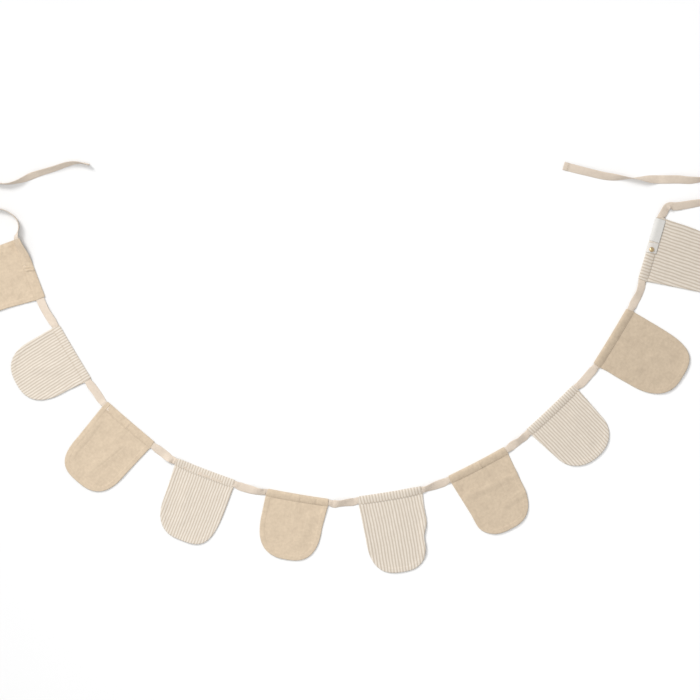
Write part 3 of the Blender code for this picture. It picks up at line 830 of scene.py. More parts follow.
class StitchPiece:
    """The casing's row of stitches on one flag: short raised threads along the stitch line."""

    STITCH = Stitch(2.0, 0.24)
    PITCH = 2.9
    INSET = 0.075
    MARGIN = 1.0

    def __init__(self, shape: FlagGeometry) -> None:
        """Keep the flag's geometry.

        Args:
            shape: The flag that is sewn.
        """
        self.shape = shape

    def build(self, material: bpy.types.Material, covered: tuple[tuple[float, float], ...]) -> bpy.types.Object:
        """Make the stitches.

        Args:
            material: The thread's finish.
            covered: Stretches of u that a sewn-on strip covers, where no stitch shows.

        Returns:
            One object that holds the whole row.
        """
        shape, maker = self.shape, MeshMaker()
        size = shape.size
        line = size.header * (1.0 - self.INSET)
        section = spline(shape.casing_section(CASING_OUTSIDE), FlagPiece.SECTION_STEPS)
        front = section[:len(section) // 2]
        level = float(np.interp(line, front[::-1, 0], front[::-1, 1]))
        left, right = (float(shape.header_edge(end, line)) for end in (End.LEFT, End.RIGHT))
        count = int((right - left - 2 * self.MARGIN) / self.PITCH)
        pitch = (right - left - 2 * self.MARGIN) / count
        run, across, up = self.STITCH.form()
        for number in range(count):
            u = left + self.MARGIN + number * pitch + (pitch - self.STITCH.length) / 2 + run
            v = line + across
            if not any(start - self.MARGIN < u.mean() < end + self.MARGIN for start, end in covered):
                self.STITCH.add(maker, shape.place(u, v, level + up), u, v)
        return maker.build(size.name + "_stitches", material, size.cloth.value)


class TapePiece:
    """The flat twill tape, from tie to tie through every casing."""

    THICK = 0.95
    HEM_THICK = 1.9
    HEM_LENGTH = 7.5
    HEM_SEAM = 6.2
    HEM_STITCHES = 5
    STITCH = Stitch(1.8, 0.2)
    STEP = 1.7
    ROLL_STEP = 3.0
    HALF_POINTS = 9
    MOUTH_LEAD = 2.5
    CASING_STEPS = 36
    CUP = 0.22
    EASE = 9.0

    def in_casing(self, shape: FlagGeometry) -> list[tuple[Spot, np.ndarray | None]]:
        """Stations of the tape through one casing, each with its own section of corners.

        Args:
            shape: The flag whose casing is meant.

        Returns:
            Pairs of a spot and the section's world points.
        """
        width, curl = shape.tape_curl()
        shares = [(0.0, -self.MOUTH_LEAD)]
        shares += [(k / self.CASING_STEPS, 0.0) for k in range(self.CASING_STEPS + 1)]
        shares.append((1.0, self.MOUTH_LEAD))
        a, b = self.section()
        v = TAPE_MIDDLE * shape.size.header - a * width / 2
        z = TAPE_LEVEL + b * self.THICK / 2 + curl * (1 - a * a)
        left, right = shape.header_edge(End.LEFT, v), shape.header_edge(End.RIGHT, v)
        found = []
        for share, lead in shares:
            u = left + (right - left) * share + lead
            ring = shape.place(u, v, z)
            middle_v = TAPE_MIDDLE * shape.size.header
            ends = [shape.header_edge(end, middle_v) for end in (End.LEFT, End.RIGHT)]
            middle_u = ends[0] + (ends[1] - ends[0]) * share + lead
            middle = shape.place(middle_u, middle_v, TAPE_LEVEL + curl)
            angle = math.degrees(float(shape.turned_up(np.array(middle_u), np.array(middle_v))))
            lift = float(ring[:, 2].min()) / MM
            spot = Spot(middle[0] / MM + LAYOUT_X, middle[1] / MM + LAYOUT_Y, lift, angle)
            found.append((spot, ring))
        return found

    def section(self) -> tuple[np.ndarray, np.ndarray]:
        """The tape's section.

        Returns:
            Places across from -1 to 1, and up its thickness from -1 to 1.
        """
        across = np.sin(np.linspace(-math.pi / 2, math.pi / 2, self.HALF_POINTS))
        edge = np.sqrt(np.clip(1.0 - across ** 8, 0.0, 1.0)) * 0.9 + 0.1
        return np.concatenate([across, across[::-1]]), np.concatenate([edge, -edge[::-1]])

    def curve_point(self, four: list[Spot], t: float) -> Spot:
        """Smooth curve through the two middle spots of four.

        Args:
            four: Spots before, at both ends of, and after the stretch.
            t: Share of the stretch.

        Returns:
            The spot there.
        """
        rows = np.array([(spot.x, spot.y, spot.lift, spot.roll) for spot in four])
        gaps = np.maximum(np.hypot(*np.diff(rows[:, :2], axis=0).T), 0.001)
        slope_b = (rows[1] - rows[0]) / gaps[0] * 0.5 + (rows[2] - rows[1]) / gaps[1] * 0.5
        slope_c = (rows[2] - rows[1]) / gaps[1] * 0.5 + (rows[3] - rows[2]) / gaps[2] * 0.5
        h = t * t * (3 - 2 * t)
        found = rows[1] * (1 - h) + rows[2] * h
        found = found + gaps[1] * (slope_b * t * (1 - t) ** 2 - slope_c * t * t * (1 - t))
        return Spot(*found)

    def stations(self) -> list[tuple[Spot, np.ndarray | None]]:
        """All stations along the tape, those inside a casing with their own section."""
        spots: list[tuple[Spot, np.ndarray | None]] = [(spot, None) for spot in LEFT_TIE]
        for index, size in enumerate(FLAGS):
            casing = self.in_casing(FlagGeometry(size))
            if index:
                before, after = spots[-1][0], casing[0][0]
                run = np.array([after.x - before.x, after.y - before.y])
                across = np.array([run[1], -run[0]]) / np.hypot(*run)
                for kink in (row for row in KINKS if row.after == FLAGS[index - 1].name):
                    middle = np.array([before.x, before.y]) + run * kink.at + across * kink.drift
                    spots.append((Spot(middle[0], middle[1], 0.0, kink.roll), None))
            spots += casing
        spots += [(spot, None) for spot in RIGHT_TIE]
        line = []
        for index in range(len(spots) - 1):
            four = [spots[min(max(index + k, 0), len(spots) - 1)][0] for k in (-1, 0, 1, 2)]
            line.append(spots[index])
            if spots[index][1] is not None and spots[index + 1][1] is not None:
                continue
            length = math.hypot(four[2].x - four[1].x, four[2].y - four[1].y)
            steps = max(1, round(length / self.STEP), round(abs(four[2].roll - four[1].roll) / self.ROLL_STEP))
            line += [(self.curve_point(four, step / steps), None) for step in range(1, steps)]
        return line + [spots[-1]]

    def free_ring(
        self, before: Spot, spot: Spot, after: Spot, thick: float, width: float, curl: float
    ) -> np.ndarray:
        """Section of the tape at a place where it lies free.

        Args:
            before: The station before.
            spot: The station itself.
            after: The station after.
            thick: The tape's thickness there.
            width: Its width across its curl.
            curl: The curl's height.

        Returns:
            World points round the section.
        """
        a, b = self.section()
        forward = np.array([after.x - before.x, after.y - before.y, 0.0])
        forward = forward / np.linalg.norm(forward)
        left = np.array([-forward[1], forward[0], 0.0])
        roll = math.radians(spot.roll)
        side = left * math.cos(roll) + np.array([0.0, 0.0, math.sin(roll)])
        face = np.array([0.0, 0.0, math.cos(roll)]) - left * math.sin(roll)
        rise = (width * abs(math.sin(roll)) + thick * abs(math.cos(roll))) / 2
        cup = (self.CUP + curl) * (1 - a * a)
        points = a[:, None] * side * width / 2 + (b * thick / 2 + cup)[:, None] * face
        points = points + np.array([spot.x, spot.y, max(spot.lift, 0.0) + rise])
        for row in PLEATS:
            near = 1.0 - float(smooth(math.hypot(spot.x - row.x, spot.y - row.y) / row.reach))
            buckle = row.height * near * ((1.0 - a) / 2) ** 2
            points = points + buckle[:, None] * (np.array([0.0, 0.0, 1.0]) + left * PLEAT_DRAWN)
        points[:, 2] = np.maximum(points[:, 2], 0.02)
        return world(points[:, 0], points[:, 1], points[:, 2])

    def sew_hems(self, rings: np.ndarray, walked: np.ndarray, material: bpy.types.Material) -> bpy.types.Object:
        """Make the row of stitches across the hem at each end, on both faces of the tape.

        Args:
            rings: World points of the tape's sections.
            walked: Each section's place along the tape.
            material: The thread's finish.

        Returns:
            One object that holds both rows.
        """
        maker = MeshMaker()
        run, across, up = (part * MM for part in self.STITCH.form())
        for place in (self.HEM_SEAM, walked[-1] - self.HEM_SEAM):
            index = int(np.abs(walked - place).argmin())
            top, base = rings[index, :self.HALF_POINTS], rings[index, self.HALF_POINTS:][::-1]
            forward = rings[index + 1].mean(axis=0) - rings[index - 1].mean(axis=0)
            forward = forward / np.linalg.norm(forward)
            for face, other in ((top, base), (base, top)):
                out = (face - other).mean(axis=0)
                out = out / np.linalg.norm(out)
                shares = np.concatenate([[0.0], np.cumsum(np.linalg.norm(np.diff(face, axis=0), axis=1))])
                for number in range(self.HEM_STITCHES):
                    middle = shares[-1] * (number + 0.5) / self.HEM_STITCHES
                    along = middle - self.STITCH.length * MM / 2 + run
                    base_line = np.stack([np.interp(along, shares, face[:, k]) for k in range(3)], axis=-1)
                    points = base_line + across[..., None] * forward + up[..., None] * out
                    self.STITCH.add(maker, points, along / MM, across / MM)
        return maker.build("tape_hem_stitches", material, "twill_tape")

    def build(
        self, material: bpy.types.Material, thread: bpy.types.Material
    ) -> tuple[bpy.types.Object, bpy.types.Object, float]:
        """Make the tape and its hems' stitches.

        Args:
            material: The twill's finish.
            thread: The thread's finish.

        Returns:
            The tape's object, its stitches and its length in millimetres.
        """
        line = self.stations()
        places = np.array([(spot.x, spot.y) for spot, _ in line])
        walked = np.concatenate([[0.0], np.cumsum(np.hypot(*np.diff(places, axis=0).T))])
        rings = []
        sewn = [index for index, (_, ring) in enumerate(line) if ring is not None]
        curls = np.repeat([FlagGeometry(size).tape_curl() for size in FLAGS], len(sewn) // len(FLAGS), axis=0)
        for index, (spot, ring) in enumerate(line):
            if ring is None:
                away = np.abs(walked[sewn] - walked[index])
                near = 1.0 - float(smooth(away.min() / self.EASE))
                narrow, curl = curls[away.argmin()]
                end_distance = min(walked[index], walked[-1] - walked[index])
                hem = 1.0 - smooth((end_distance - self.HEM_LENGTH) / 0.8)
                thick = self.THICK + (self.HEM_THICK - self.THICK) * float(hem)
                before, after = line[max(index - 1, 0)][0], line[min(index + 1, len(line) - 1)][0]
                width = TAPE_WIDTH + (narrow - TAPE_WIDTH) * near
                ring = self.free_ring(before, spot, after, thick, width, curl * near)
            rings.append(ring)
        maker = MeshMaker()
        a, b = self.section()
        across = np.broadcast_to(a * TAPE_WIDTH / 2, (len(rings), len(a)))
        along = np.broadcast_to(walked[:, None], across.shape)
        numbers = maker.add_grid(np.array(rings), np.stack([across, along], axis=-1) * MM)
        maker.skin(np.hstack([numbers, numbers[:, :1]]))
        maker.close(numbers[0])
        maker.close(numbers[-1])
        tape = maker.build("twill_tape", material, "twill_tape")
        return tape, self.sew_hems(np.array(rings), walked, thread), float(walked[-1])


class WrapPiece:
    """A strip folded over the last flag's header: the label or the stud's tab."""

    THICK = 0.5
    CLEAR = 0.3
    SEWN_LEVEL = 2.0
    CROWN = 0.4
    CHORD_STEPS = 8
    BACK = (0.3, 1.4)
    ALONG = 26

    def __init__(self, name: str, start: float, end: float, front: float, skew: float) -> None:
        """Keep the strip's sizes.

        Args:
            name: The piece's name.
            start: Its u at one end.
            end: Its u at the other end.
            front: Its v at the front edge.
            skew: How far the front edge is shifted along u.
        """
        self.name, self.start, self.end, self.front, self.skew = name, start, end, front, skew

    def section(self, shape: FlagGeometry) -> np.ndarray:
        """Line (v, z) over the casing, from the front edge round the top fold."""
        line = spline(shape.casing_section(CASING_OUTSIDE), FlagPiece.SECTION_STEPS)
        fold = FOLD_LEVEL * FlagPiece.SECTION_STEPS
        front = line[:fold + 1]
        kept = front[front[:, 0] < self.CROWN * shape.size.header]
        share = np.arange(self.CHORD_STEPS)[:, None] / self.CHORD_STEPS
        chord = np.array([self.front, self.SEWN_LEVEL]) * (1 - share) + kept[0] * share
        return np.vstack([chord, kept, [self.BACK]])

    def build(self, shape: FlagGeometry, material: bpy.types.Material, slot: str) -> tuple[bpy.types.Object, float]:
        """Make the strip.

        Args:
            shape: The flag that it is wrapped over.
            material: Its finish.
            slot: The record's slot of that finish.

        Returns:
            The strip's object and its cut length in millimetres.
        """
        line = self.section(shape)
        steps = np.hypot(*np.diff(line, axis=0).T)
        walked = np.concatenate([[0.0], np.cumsum(steps)])
        run = np.gradient(line, axis=0)
        run = run / np.linalg.norm(run, axis=1)[:, None]
        out = np.stack([run[:, 1], -run[:, 0]], axis=1)
        share = np.linspace(0.0, 1.0, self.ALONG + 1)
        maker = MeshMaker()
        layers = []
        for offset in (self.CLEAR, self.CLEAR + self.THICK):
            moved = line + out * offset
            v = np.broadcast_to(moved[:, :1], (len(line), len(share)))
            z = np.broadcast_to(moved[:, 1:], v.shape)
            u = self.start + (self.end - self.start) * share[None, :]
            u = u + self.skew * (v / self.front)
            cloth = np.stack(np.broadcast_arrays(u, walked[:, None]), axis=-1) * MM
            layers.append(maker.add_grid(shape.place(u, v, z), cloth))
        inner, outer = layers
        maker.skin(inner)
        maker.skin(outer)
        for column in (0, -1):
            maker.skin(np.stack([inner[:, column], outer[:, column]]))
        for row in (0, -1):
            maker.skin(np.stack([inner[row], outer[row]]))
        return maker.build(self.name, material, slot), float(walked[-1])


class StudPiece:
    """The domed brass cap on the tab."""

    AT = -1.6
    V = 6.5
    PROFILE = (
        (0.0, 0.0), (3.3, 0.0), (3.75, 0.12), (3.9, 0.4), (3.78, 0.68), (3.5, 0.78), (3.38, 0.82),
        (3.3, 1.1), (3.0, 1.55), (2.45, 1.95), (1.75, 2.22), (0.9, 2.37), (0.0, 2.42),
    )
    SPREAD = 0.95
    SIDES = 64

    def build(self, shape: FlagGeometry, material: bpy.types.Material) -> bpy.types.Object:
        """Make the cap.

        Args:
            shape: The flag that carries it.
            material: The brass.

        Returns:
            The cap's object.
        """
        crown = shape.casing_section(CASING_OUTSIDE)[:, 1].max() + WrapPiece.CLEAR + WrapPiece.THICK
        profile = spline(np.array(self.PROFILE[1:-1]) * (self.SPREAD, 1.0), 3)
        profile = np.vstack([[0.02, 0.0], profile, [0.02, self.PROFILE[-1][1]]])
        turn = np.linspace(0.0, 2 * math.pi, self.SIDES, endpoint=False)
        u = self.AT + profile[:, :1] * np.cos(turn)
        v = self.V + profile[:, :1] * np.sin(turn)
        z = crown + profile[:, 1:] + 0.0 * turn
        maker = MeshMaker()
        ring = maker.add_grid(shape.place(u, v, z), np.stack([u, v], axis=-1) * MM)
        maker.skin(np.hstack([ring, ring[:, :1]]))
        maker.close(ring[0])
        maker.close(ring[-1])
        return maker.build("brass_cap", material, "stud_brass")


class Nodes:
    """Short calls for building one node tree."""

    def __init__(self, tree: bpy.types.NodeTree) -> None:
        """Keep the tree.

        Args:
            tree: The node tree that is built.
        """
        self.tree = tree

    def add(self, kind: str, **settings: object) -> bpy.types.Node:
        """Add a node and set its own properties."""
        node = self.tree.nodes.new(kind)
        for key, value in settings.items():
            setattr(node, key, value)
        return node

    def link(self, source: object, target: object) -> None:
        """Join an output to an input, or set an input's value."""
        if isinstance(source, bpy.types.NodeSocket):
            self.tree.links.new(source, target)
        else:
            target.default_value = source

    def math(self, operation: str, *values: object) -> bpy.types.NodeSocket:
        """Add a Math node on numbers or sockets, and give back its output."""
        node = self.add("ShaderNodeMath", operation=operation)
        for socket, value in zip(node.inputs, values):
            self.link(value, socket)
        return node.outputs[0]

    def mix(self, factor: object, first: object, second: object) -> bpy.types.NodeSocket:
        """Mix two colours by a factor, and give back the colour."""
        node = self.add("ShaderNodeMix", data_type="RGBA")
        self.link(factor, node.inputs[0])
        self.link(first, node.inputs[6])
        self.link(second, node.inputs[7])
        return node.outputs[2]


def new_group(name: str, inputs: dict[str, float | None], outputs: tuple[str, ...]) -> Nodes:
    """Start a shader node group with named sockets.

    Args:
        name: The group's name.
        inputs: Input names with their first value, or None for a vector.
        outputs: Names of the number outputs.

    Returns:
        Calls for building the group's tree.
    """
    tree = bpy.data.node_groups.new(name, "ShaderNodeTree")
    for key, value in inputs.items():
        kind = "NodeSocketVector" if value is None else "NodeSocketFloat"
        socket = tree.interface.new_socket(key, in_out="INPUT", socket_type=kind)
        if value is not None:
            socket.default_value = value
    for key in outputs:
        tree.interface.new_socket(key, in_out="OUTPUT", socket_type="NodeSocketFloat")
    return Nodes(tree)


class EffectGroups:
    """The effects that several finishes share, each built once."""

    def __init__(self) -> None:
        """Build every group."""
        self.weave = self.plain_weave()
        self.twill = self.twill_rib()
        self.mottle = self.cloth_mottle()
        self.stripes = self.woven_stripes()

    def plain_weave(self) -> bpy.types.NodeTree:
        """Over and under of a plain weave, with thick and thin yarns."""
        group = new_group("plain_weave", {"Place": None, "Pitch": 0.0006, "Slub": 0.3}, ("Height", "Shade"))
        start, end = group.add("NodeGroupInput"), group.add("NodeGroupOutput")
        split = group.add("ShaderNodeSeparateXYZ")
        group.link(start.outputs["Place"], split.inputs[0])
        turns = group.math("DIVIDE", math.pi, start.outputs["Pitch"])
        warp = group.math("SINE", group.math("MULTIPLY", split.outputs[0], turns))
        weft = group.math("SINE", group.math("MULTIPLY", split.outputs[1], turns))
        over = group.math("MULTIPLY", warp, weft)
        stretched = []
        for scale in ((760.0, 70.0, 1.0), (70.0, 760.0, 1.0)):
            mapping = group.add("ShaderNodeVectorMath", operation="MULTIPLY")
            group.link(start.outputs["Place"], mapping.inputs[0])
            mapping.inputs[1].default_value = scale
            noise = group.add("ShaderNodeTexNoise", noise_dimensions="2D")
            noise.inputs["Scale"].default_value = 1.0
            noise.inputs["Detail"].default_value = 3.0
            group.link(mapping.outputs[0], noise.inputs["Vector"])
            stretched.append(group.math("SUBTRACT", noise.outputs[0], 0.5))
        yarns = group.math("MULTIPLY", group.math("ADD", *stretched), start.outputs["Slub"])
        height = group.math("ADD", group.math("MULTIPLY", over, 0.5), yarns)
        group.link(height, end.inputs["Height"])
        group.link(yarns, end.inputs["Shade"])
        return group.tree

    def twill_rib(self) -> bpy.types.NodeTree:
        """Slanting ribs of a twill tape, with a plainer selvedge; the Shade output is painted shade that follows the
        ribs' height.
        """
        group = new_group("twill_rib", {"Place": None, "Pitch": 0.001, "Half Width": 0.0062}, ("Height", "Shade"))
        start, end = group.add("NodeGroupInput"), group.add("NodeGroupOutput")
        split = group.add("ShaderNodeSeparateXYZ")
        group.link(start.outputs["Place"], split.inputs[0])
        slant = group.math("ADD", split.outputs[0], group.math("MULTIPLY", split.outputs[1], 0.8))
        turns = group.math("DIVIDE", 2 * math.pi, start.outputs["Pitch"])
        rib = group.math("SINE", group.math("MULTIPLY", slant, turns))
        cross = group.math("SINE", group.math("MULTIPLY", split.outputs[1], group.math("MULTIPLY", turns, 2.0)))
        across = group.math("DIVIDE", group.math("ABSOLUTE", split.outputs[0]), start.outputs["Half Width"])
        selvedge = group.math("GREATER_THAN", across, 0.9)
        inner = group.math("SUBTRACT", 1.0, selvedge)
        height = group.math("ADD", group.math("MULTIPLY", rib, inner), group.math("MULTIPLY", cross, 0.3))
        group.link(height, end.inputs["Height"])
        group.link(group.math("MULTIPLY", rib, inner), end.inputs["Shade"])
        return group.tree

    def cloth_mottle(self) -> bpy.types.NodeTree:
        """Broad and fine uneven tone of dyed cloth."""
        group = new_group("cloth_mottle", {"Place": None, "Broad": 65.0, "Fine": 240.0}, ("Tone",))
        start, end = group.add("NodeGroupInput"), group.add("NodeGroupOutput")
        found = []
        for key, share in (("Broad", 0.45), ("Fine", 0.6)):
            noise = group.add("ShaderNodeTexNoise", noise_dimensions="2D")
            noise.inputs["Detail"].default_value = 4.0
            group.link(start.outputs["Place"], noise.inputs["Vector"])
            group.link(start.outputs[key], noise.inputs["Scale"])
            found.append(group.math("MULTIPLY", group.math("SUBTRACT", noise.outputs[0], 0.5), share))
        group.link(group.math("ADD", *found), end.inputs["Tone"])
        return group.tree

    def woven_stripes(self) -> bpy.types.NodeTree:
        """Mask of stripes that run down the cloth, with soft uneven sides."""
        inputs = {"Place": None, "Pitch": 0.0045, "Share": 0.42, "Ease": 0.0005}
        group = new_group("woven_stripes", inputs, ("Stripe",))
        start, end = group.add("NodeGroupInput"), group.add("NodeGroupOutput")
        noise = group.add("ShaderNodeTexNoise", noise_dimensions="2D")
        noise.inputs["Scale"].default_value = 55.0
        group.link(start.outputs["Place"], noise.inputs["Vector"])
        wander = group.math("MULTIPLY", group.math("SUBTRACT", noise.outputs[0], 0.5), 0.0015)
        split = group.add("ShaderNodeSeparateXYZ")
        group.link(start.outputs["Place"], split.inputs[0])
        across = group.math("ADD", split.outputs[0], wander)
        inside = group.math("PINGPONG", across, group.math("MULTIPLY", start.outputs["Pitch"], 0.5))
        half = group.math("MULTIPLY", start.outputs["Pitch"], group.math("MULTIPLY", start.outputs["Share"], 0.5))
        edge = group.math("DIVIDE", group.math("SUBTRACT", half, inside), start.outputs["Ease"])
        clamp = group.add("ShaderNodeClamp")
        group.link(group.math("ADD", edge, 0.5), clamp.inputs[0])
        group.link(clamp.outputs[0], end.inputs["Stripe"])
        return group.tree


@dataclass(frozen=True)
class ClothFinish:
    """Finish of a woven cloth: its colours, weave and depth."""

    name: str
    colour: tuple[float, float, float]
    deep: tuple[float, float, float]
    stripe: tuple[float, float, float] | None
    pitch: float
    bump: float
    roughness: float
    sheen: float

    def build(
        self, groups: EffectGroups, stripes: Stripe | None = None, painted_falloff_and_dye: float = 1.0
    ) -> bpy.types.Material:
        """Make the material.

        Args:
            groups: The shared effects.
            stripes: The flag's stripes, if its cloth is striped.
            painted_falloff_and_dye: Factor on the colours, mostly painted light falloff across the layout and partly a
                dye difference between cuts.

        Returns:
            The new material.
        """
        material, nodes, shader = start_material(self.name)
        # Colours scaled by the flag's factor: mostly painted light falloff, partly a dye difference between cuts.
        deep, light, stripe = (
            (*(painted_falloff_and_dye * part for part in tone), 1.0) for tone in (self.deep, self.colour, self.stripe or self.deep)
        )
        place = nodes.add("ShaderNodeUVMap", uv_map="cloth").outputs[0]
        weave = nodes.add("ShaderNodeGroup", node_tree=groups.weave)
        weave.inputs["Pitch"].default_value = self.pitch
        nodes.link(place, weave.inputs["Place"])
        mottle = nodes.add("ShaderNodeGroup", node_tree=groups.mottle)
        nodes.link(place, mottle.inputs["Place"])
        tone = nodes.math("ADD", mottle.outputs["Tone"], nodes.math("MULTIPLY", weave.outputs["Shade"], 0.65))
        factor = nodes.math("ADD", nodes.math("MULTIPLY", tone, 2.2), 0.5)
        colour = nodes.mix(factor, deep, light)
        if stripes:
            mask = nodes.add("ShaderNodeGroup", node_tree=groups.stripes)
            mask.inputs["Pitch"].default_value = stripes.pitch * MM
            nodes.link(place, mask.inputs["Place"])
            colour = nodes.mix(mask.outputs["Stripe"], colour, stripe)
        nodes.link(colour, shader.inputs["Base Color"])
        bump = nodes.add("ShaderNodeBump")
        bump.inputs["Strength"].default_value = self.bump
        bump.inputs["Distance"].default_value = 0.00025
        nodes.link(weave.outputs["Height"], bump.inputs["Height"])
        nodes.link(bump.outputs[0], shader.inputs["Normal"])
        shader.inputs["Roughness"].default_value = self.roughness
        shader.inputs["Sheen Weight"].default_value = self.sheen
        shader.inputs["Sheen Roughness"].default_value = 0.6
        shader.inputs["Specular IOR Level"].default_value = 0.2
        return material


@dataclass(frozen=True)
class TapeFinish:
    """Finish of the twill tape."""

    name: str
    colour: tuple[float, float, float]
    deep: tuple[float, float, float]

    def build(self, groups: EffectGroups) -> bpy.types.Material:
        """Make the material.

        Args:
            groups: The shared effects.

        Returns:
            The new material.
        """
        material, nodes, shader = start_material(self.name)
        place = nodes.add("ShaderNodeUVMap", uv_map="cloth").outputs[0]
        rib = nodes.add("ShaderNodeGroup", node_tree=groups.twill)
        mottle = nodes.add("ShaderNodeGroup", node_tree=groups.mottle)
        for group in (rib, mottle):
            nodes.link(place, group.inputs["Place"])
        # A little of the ribs' height goes into the tone: painted shade between the ribs.
        tone = nodes.math("ADD", mottle.outputs["Tone"], nodes.math("MULTIPLY", rib.outputs["Shade"], 0.12))
        factor = nodes.math("ADD", nodes.math("MULTIPLY", tone, 1.5), 0.5)
        nodes.link(nodes.mix(factor, (*self.deep, 1.0), (*self.colour, 1.0)), shader.inputs["Base Color"])
        bump = nodes.add("ShaderNodeBump")
        bump.inputs["Strength"].default_value = 0.5
        bump.inputs["Distance"].default_value = 0.0002
        nodes.link(rib.outputs["Height"], bump.inputs["Height"])
        nodes.link(bump.outputs[0], shader.inputs["Normal"])
        shader.inputs["Roughness"].default_value = 0.85
        shader.inputs["Sheen Weight"].default_value = 0.15
        shader.inputs["Specular IOR Level"].default_value = 0.25
        return material


@dataclass(frozen=True)
class BrassFinish:
    """Finish of the polished stud."""

    name: str
    colour: tuple[float, float, float]
    roughness: float

    def build(self, groups: EffectGroups) -> bpy.types.Material:
        """Make the material.

        Args:
            groups: The shared effects.

        Returns:
            The new material.
        """
        material, nodes, shader = start_material(self.name)
        place = nodes.add("ShaderNodeUVMap", uv_map="cloth").outputs[0]
        mottle = nodes.add("ShaderNodeGroup", node_tree=groups.mottle)
        nodes.link(place, mottle.inputs["Place"])
        worn = nodes.math("ADD", nodes.math("MULTIPLY", mottle.outputs["Tone"], 0.25), self.roughness)
        nodes.link(worn, shader.inputs["Roughness"])
        shader.inputs["Base Color"].default_value = (*self.colour, 1.0)
        shader.inputs["Metallic"].default_value = 1.0
        shader.inputs["Coat Weight"].default_value = 1.0
        shader.inputs["Coat Roughness"].default_value = 0.16
        return material


def start_material(name: str) -> tuple[bpy.types.Material, Nodes, bpy.types.Node]:
    """Make a material with its Principled shader.

    Args:
        name: The material's name.

    Returns:
        The material, calls for its tree, and its shader.
    """
    material = bpy.data.materials.new(name)
    material.use_nodes = True
    return material, Nodes(material.node_tree), material.node_tree.nodes["Principled BSDF"]


SAND = ClothFinish("sand double gauze", (0.615, 0.498, 0.366), (0.515, 0.414, 0.303), None, 0.0006, 0.5, 0.92, 0.2)
STRIPED = ClothFinish(
    "striped cotton", (0.72, 0.655, 0.57), (0.66, 0.59, 0.505), (0.53, 0.455, 0.37), 0.0005, 0.45, 0.92, 0.15
)
LABEL = ClothFinish("label ribbon", (0.665, 0.65, 0.62), (0.635, 0.62, 0.59), None, 0.0004, 0.3, 0.6, 0.1)
TAB = ClothFinish("tab ribbon", (0.68, 0.65, 0.61), (0.64, 0.61, 0.57), None, 0.0005, 0.35, 0.75, 0.1)
# The thread is darker than the sand cloth: partly its own colour, partly painted shade so the stitch line reads
# darker.
THREAD = ClothFinish("sewing thread", (0.52, 0.42, 0.31), (0.45, 0.36, 0.26), None, 0.0003, 0.3, 0.7, 0.1)
TWILL = TapeFinish("cotton twill", (0.72, 0.62, 0.515), (0.64, 0.542, 0.445))
BRASS = BrassFinish("polished brass", (0.62, 0.455, 0.245), 0.24)


class Bunting:
    """The whole bunting: its flags, tape, label, tab and stud."""

    LABEL_FROM = 10.8
    LABEL_TO = 46.0
    LABEL_FRONT = 14.9
    TAB_FROM = -7.6
    TAB_TO = 7.8
    TAB_FRONT = 14.9
    TAB_SKEW = 2.0

    def __init__(self, groups: EffectGroups) -> None:
        """Keep the shared effects.

        Args:
            groups: The effects that the finishes are made from.
        """
        self.groups = groups
        self.thread = THREAD.build(groups)

    def build_flags(self) -> list[bpy.types.Object]:
        """Make every flag with its stitches."""
        covered = ((self.TAB_FROM + self.TAB_SKEW, self.TAB_TO + self.TAB_SKEW), (self.LABEL_FROM, self.LABEL_TO))
        flags = []
        for size in FLAGS:
            finish = STRIPED if size.cloth is Cloth.STRIPED else SAND
            cloth = finish.build(self.groups, size.stripe, size.painted_falloff_and_dye)
            piece = FlagPiece(size)
            flag = piece.build(cloth)
            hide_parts(size.name)
            stitches = StitchPiece(piece.shape).build(self.thread, covered if size is LABEL_FLAG else ())
            flags.append(flag)
        return flags

    def build_trims(self) -> None:
        """Make the label, the tab and the stud on the last flag's header."""
        shape = FlagGeometry(LABEL_FLAG)
        label = WrapPiece("blank_label", self.LABEL_FROM, self.LABEL_TO, self.LABEL_FRONT, 0.0)
        piece, length = label.build(shape, LABEL.build(self.groups), "label_white")
        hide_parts("side_label")
        tab = WrapPiece("stud_loop", self.TAB_FROM, self.TAB_TO, self.TAB_FRONT, self.TAB_SKEW)
        piece, length = tab.build(shape, TAB.build(self.groups), "tab_white")
        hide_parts("stud_tab")
        stud = StudPiece().build(shape, BRASS.build(self.groups))
        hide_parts("brass_stud")

    def build(self) -> None:
        """Make every piece."""
        tape, stitches, length = TapePiece().build(TWILL.build(self.groups), self.thread)
        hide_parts("tape")
        LOG.info("tape length %.1f mm", length)
        self.build_flags()
        self.build_trims()


@dataclass(frozen=True)
class Lamp:
    """A round soft lamp: its place and aim in metres, its size and its power."""

    name: str
    place: tuple[float, float, float]
    aim: tuple[float, float, float]
    size: float
    power: float


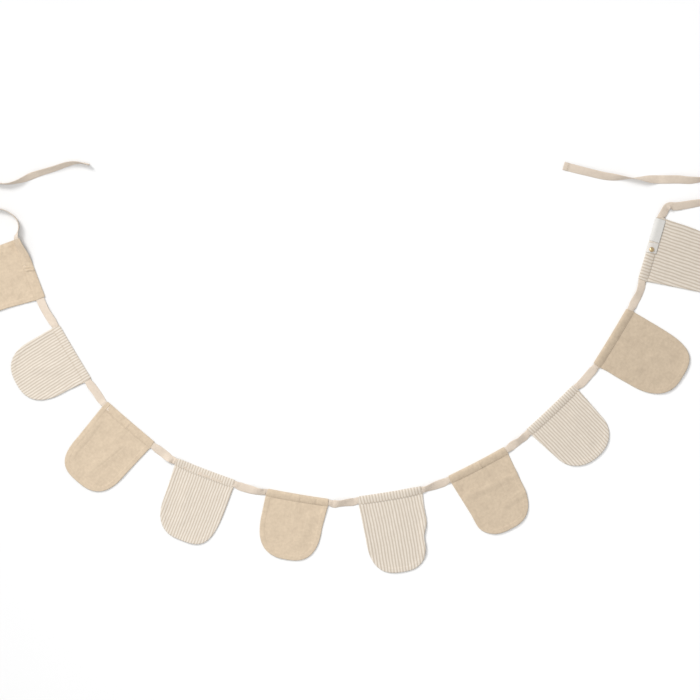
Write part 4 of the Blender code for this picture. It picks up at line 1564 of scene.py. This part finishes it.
class Studio:
    """Floor, light and camera of a plain product photograph taken from above."""

    LAMPS = (
        Lamp("key", (-2.4, 2.4, 3.2), (0.0, 0.0, 0.0), 1.5, 122.0),
        Lamp("softbox", (-0.55, 0.1, 1.7), (-0.55, 0.1, 0.0), 1.2, 9.6),
    )
    SURROUND = 0.64
    PHOTO_WIDTH = 1.05
    LENS = 100.0
    SENSOR = 36.0
    FLOOR = 12.0
    FLOOR_TONE = 0.822
    # Slope of the floor's tone across x and y: painted light that evens out the lamps' falloff.
    FLOOR_PAINTED_LIGHT_SLOPE = (0.17, -0.09)
    FLOOR_LIMITS = (0.7, 0.97)

    def build(self) -> None:
        """Make the floor, the lights and the camera."""
        self.floor()
        self.lights()
        self.camera()

    def floor(self) -> None:
        """A wide white surface just below the bunting, its tone rising to the right and to the bottom: painted light
        against the lamps' falloff.
        """
        mesh = bpy.data.meshes.new("studio_floor")
        half = self.FLOOR / 2
        corners = [(-half, -half, 0), (half, -half, 0), (half, half, 0), (-half, half, 0)]
        mesh.from_pydata(corners, [], [(0, 1, 2, 3)])
        material, nodes, shader = start_material("white surface")
        split = nodes.add("ShaderNodeSeparateXYZ")
        nodes.link(nodes.add("ShaderNodeTexCoord").outputs["Object"], split.inputs[0])
        # Painted light: the floor's tone rises to the right and towards the bottom, evening out the lamps' falloff.
        slope = [nodes.math("MULTIPLY", split.outputs[k], rate) for k, rate in enumerate(self.FLOOR_PAINTED_LIGHT_SLOPE)]
        tone = nodes.math("ADD", nodes.math("ADD", *slope), self.FLOOR_TONE)
        tone = nodes.math("MINIMUM", nodes.math("MAXIMUM", tone, self.FLOOR_LIMITS[0]), self.FLOOR_LIMITS[1])
        colour = nodes.add("ShaderNodeCombineColor")
        for socket in colour.inputs:
            nodes.link(tone, socket)
        nodes.link(colour.outputs[0], shader.inputs["Base Color"])
        shader.inputs["Roughness"].default_value = 0.9
        mesh.materials.append(material)
        floor = bpy.data.objects.new("studio_floor", mesh)
        bpy.context.scene.collection.objects.link(floor)
        floor.location.z = -0.0001

    def lights(self) -> None:
        """A broad key light from the upper left, a softbox over the left half and an even white surround."""
        scene = bpy.context.scene
        for row in self.LAMPS:
            light = bpy.data.lights.new(row.name, "AREA")
            light.shape = "DISK"
            light.size = row.size
            light.energy = row.power
            lamp = bpy.data.objects.new(row.name, light)
            lamp.location = row.place
            aim = Vector(row.aim) - Vector(row.place)
            lamp.rotation_euler = aim.to_track_quat("-Z", "Y").to_euler()
            scene.collection.objects.link(lamp)
        surround = bpy.data.worlds.new("surround")
        surround.use_nodes = True
        background = surround.node_tree.nodes["Background"]
        background.inputs["Color"].default_value = (1.0, 1.0, 1.0, 1.0)
        background.inputs["Strength"].default_value = self.SURROUND
        scene.world = surround
        scene.view_settings.view_transform = "Standard"
        scene.view_settings.look = "None"

    def camera(self) -> None:
        """A camera straight above the layout's middle."""
        data = bpy.data.cameras.new("camera")
        data.lens = self.LENS
        data.sensor_width = self.SENSOR
        camera = bpy.data.objects.new("camera", data)
        height = self.LENS / self.SENSOR * self.PHOTO_WIDTH
        camera.location = (-LAYOUT_X * MM, -LAYOUT_Y * MM, height)
        data.clip_end = 50.0
        bpy.context.scene.collection.objects.link(camera)
        bpy.context.scene.camera = camera


def main() -> None:
    """Build the studio and the bunting."""
    logging.basicConfig(level=logging.INFO, format="%(name)s %(message)s")
    Studio().build()
    Bunting(EffectGroups()).build()


if __name__ == "__main__":
    main()
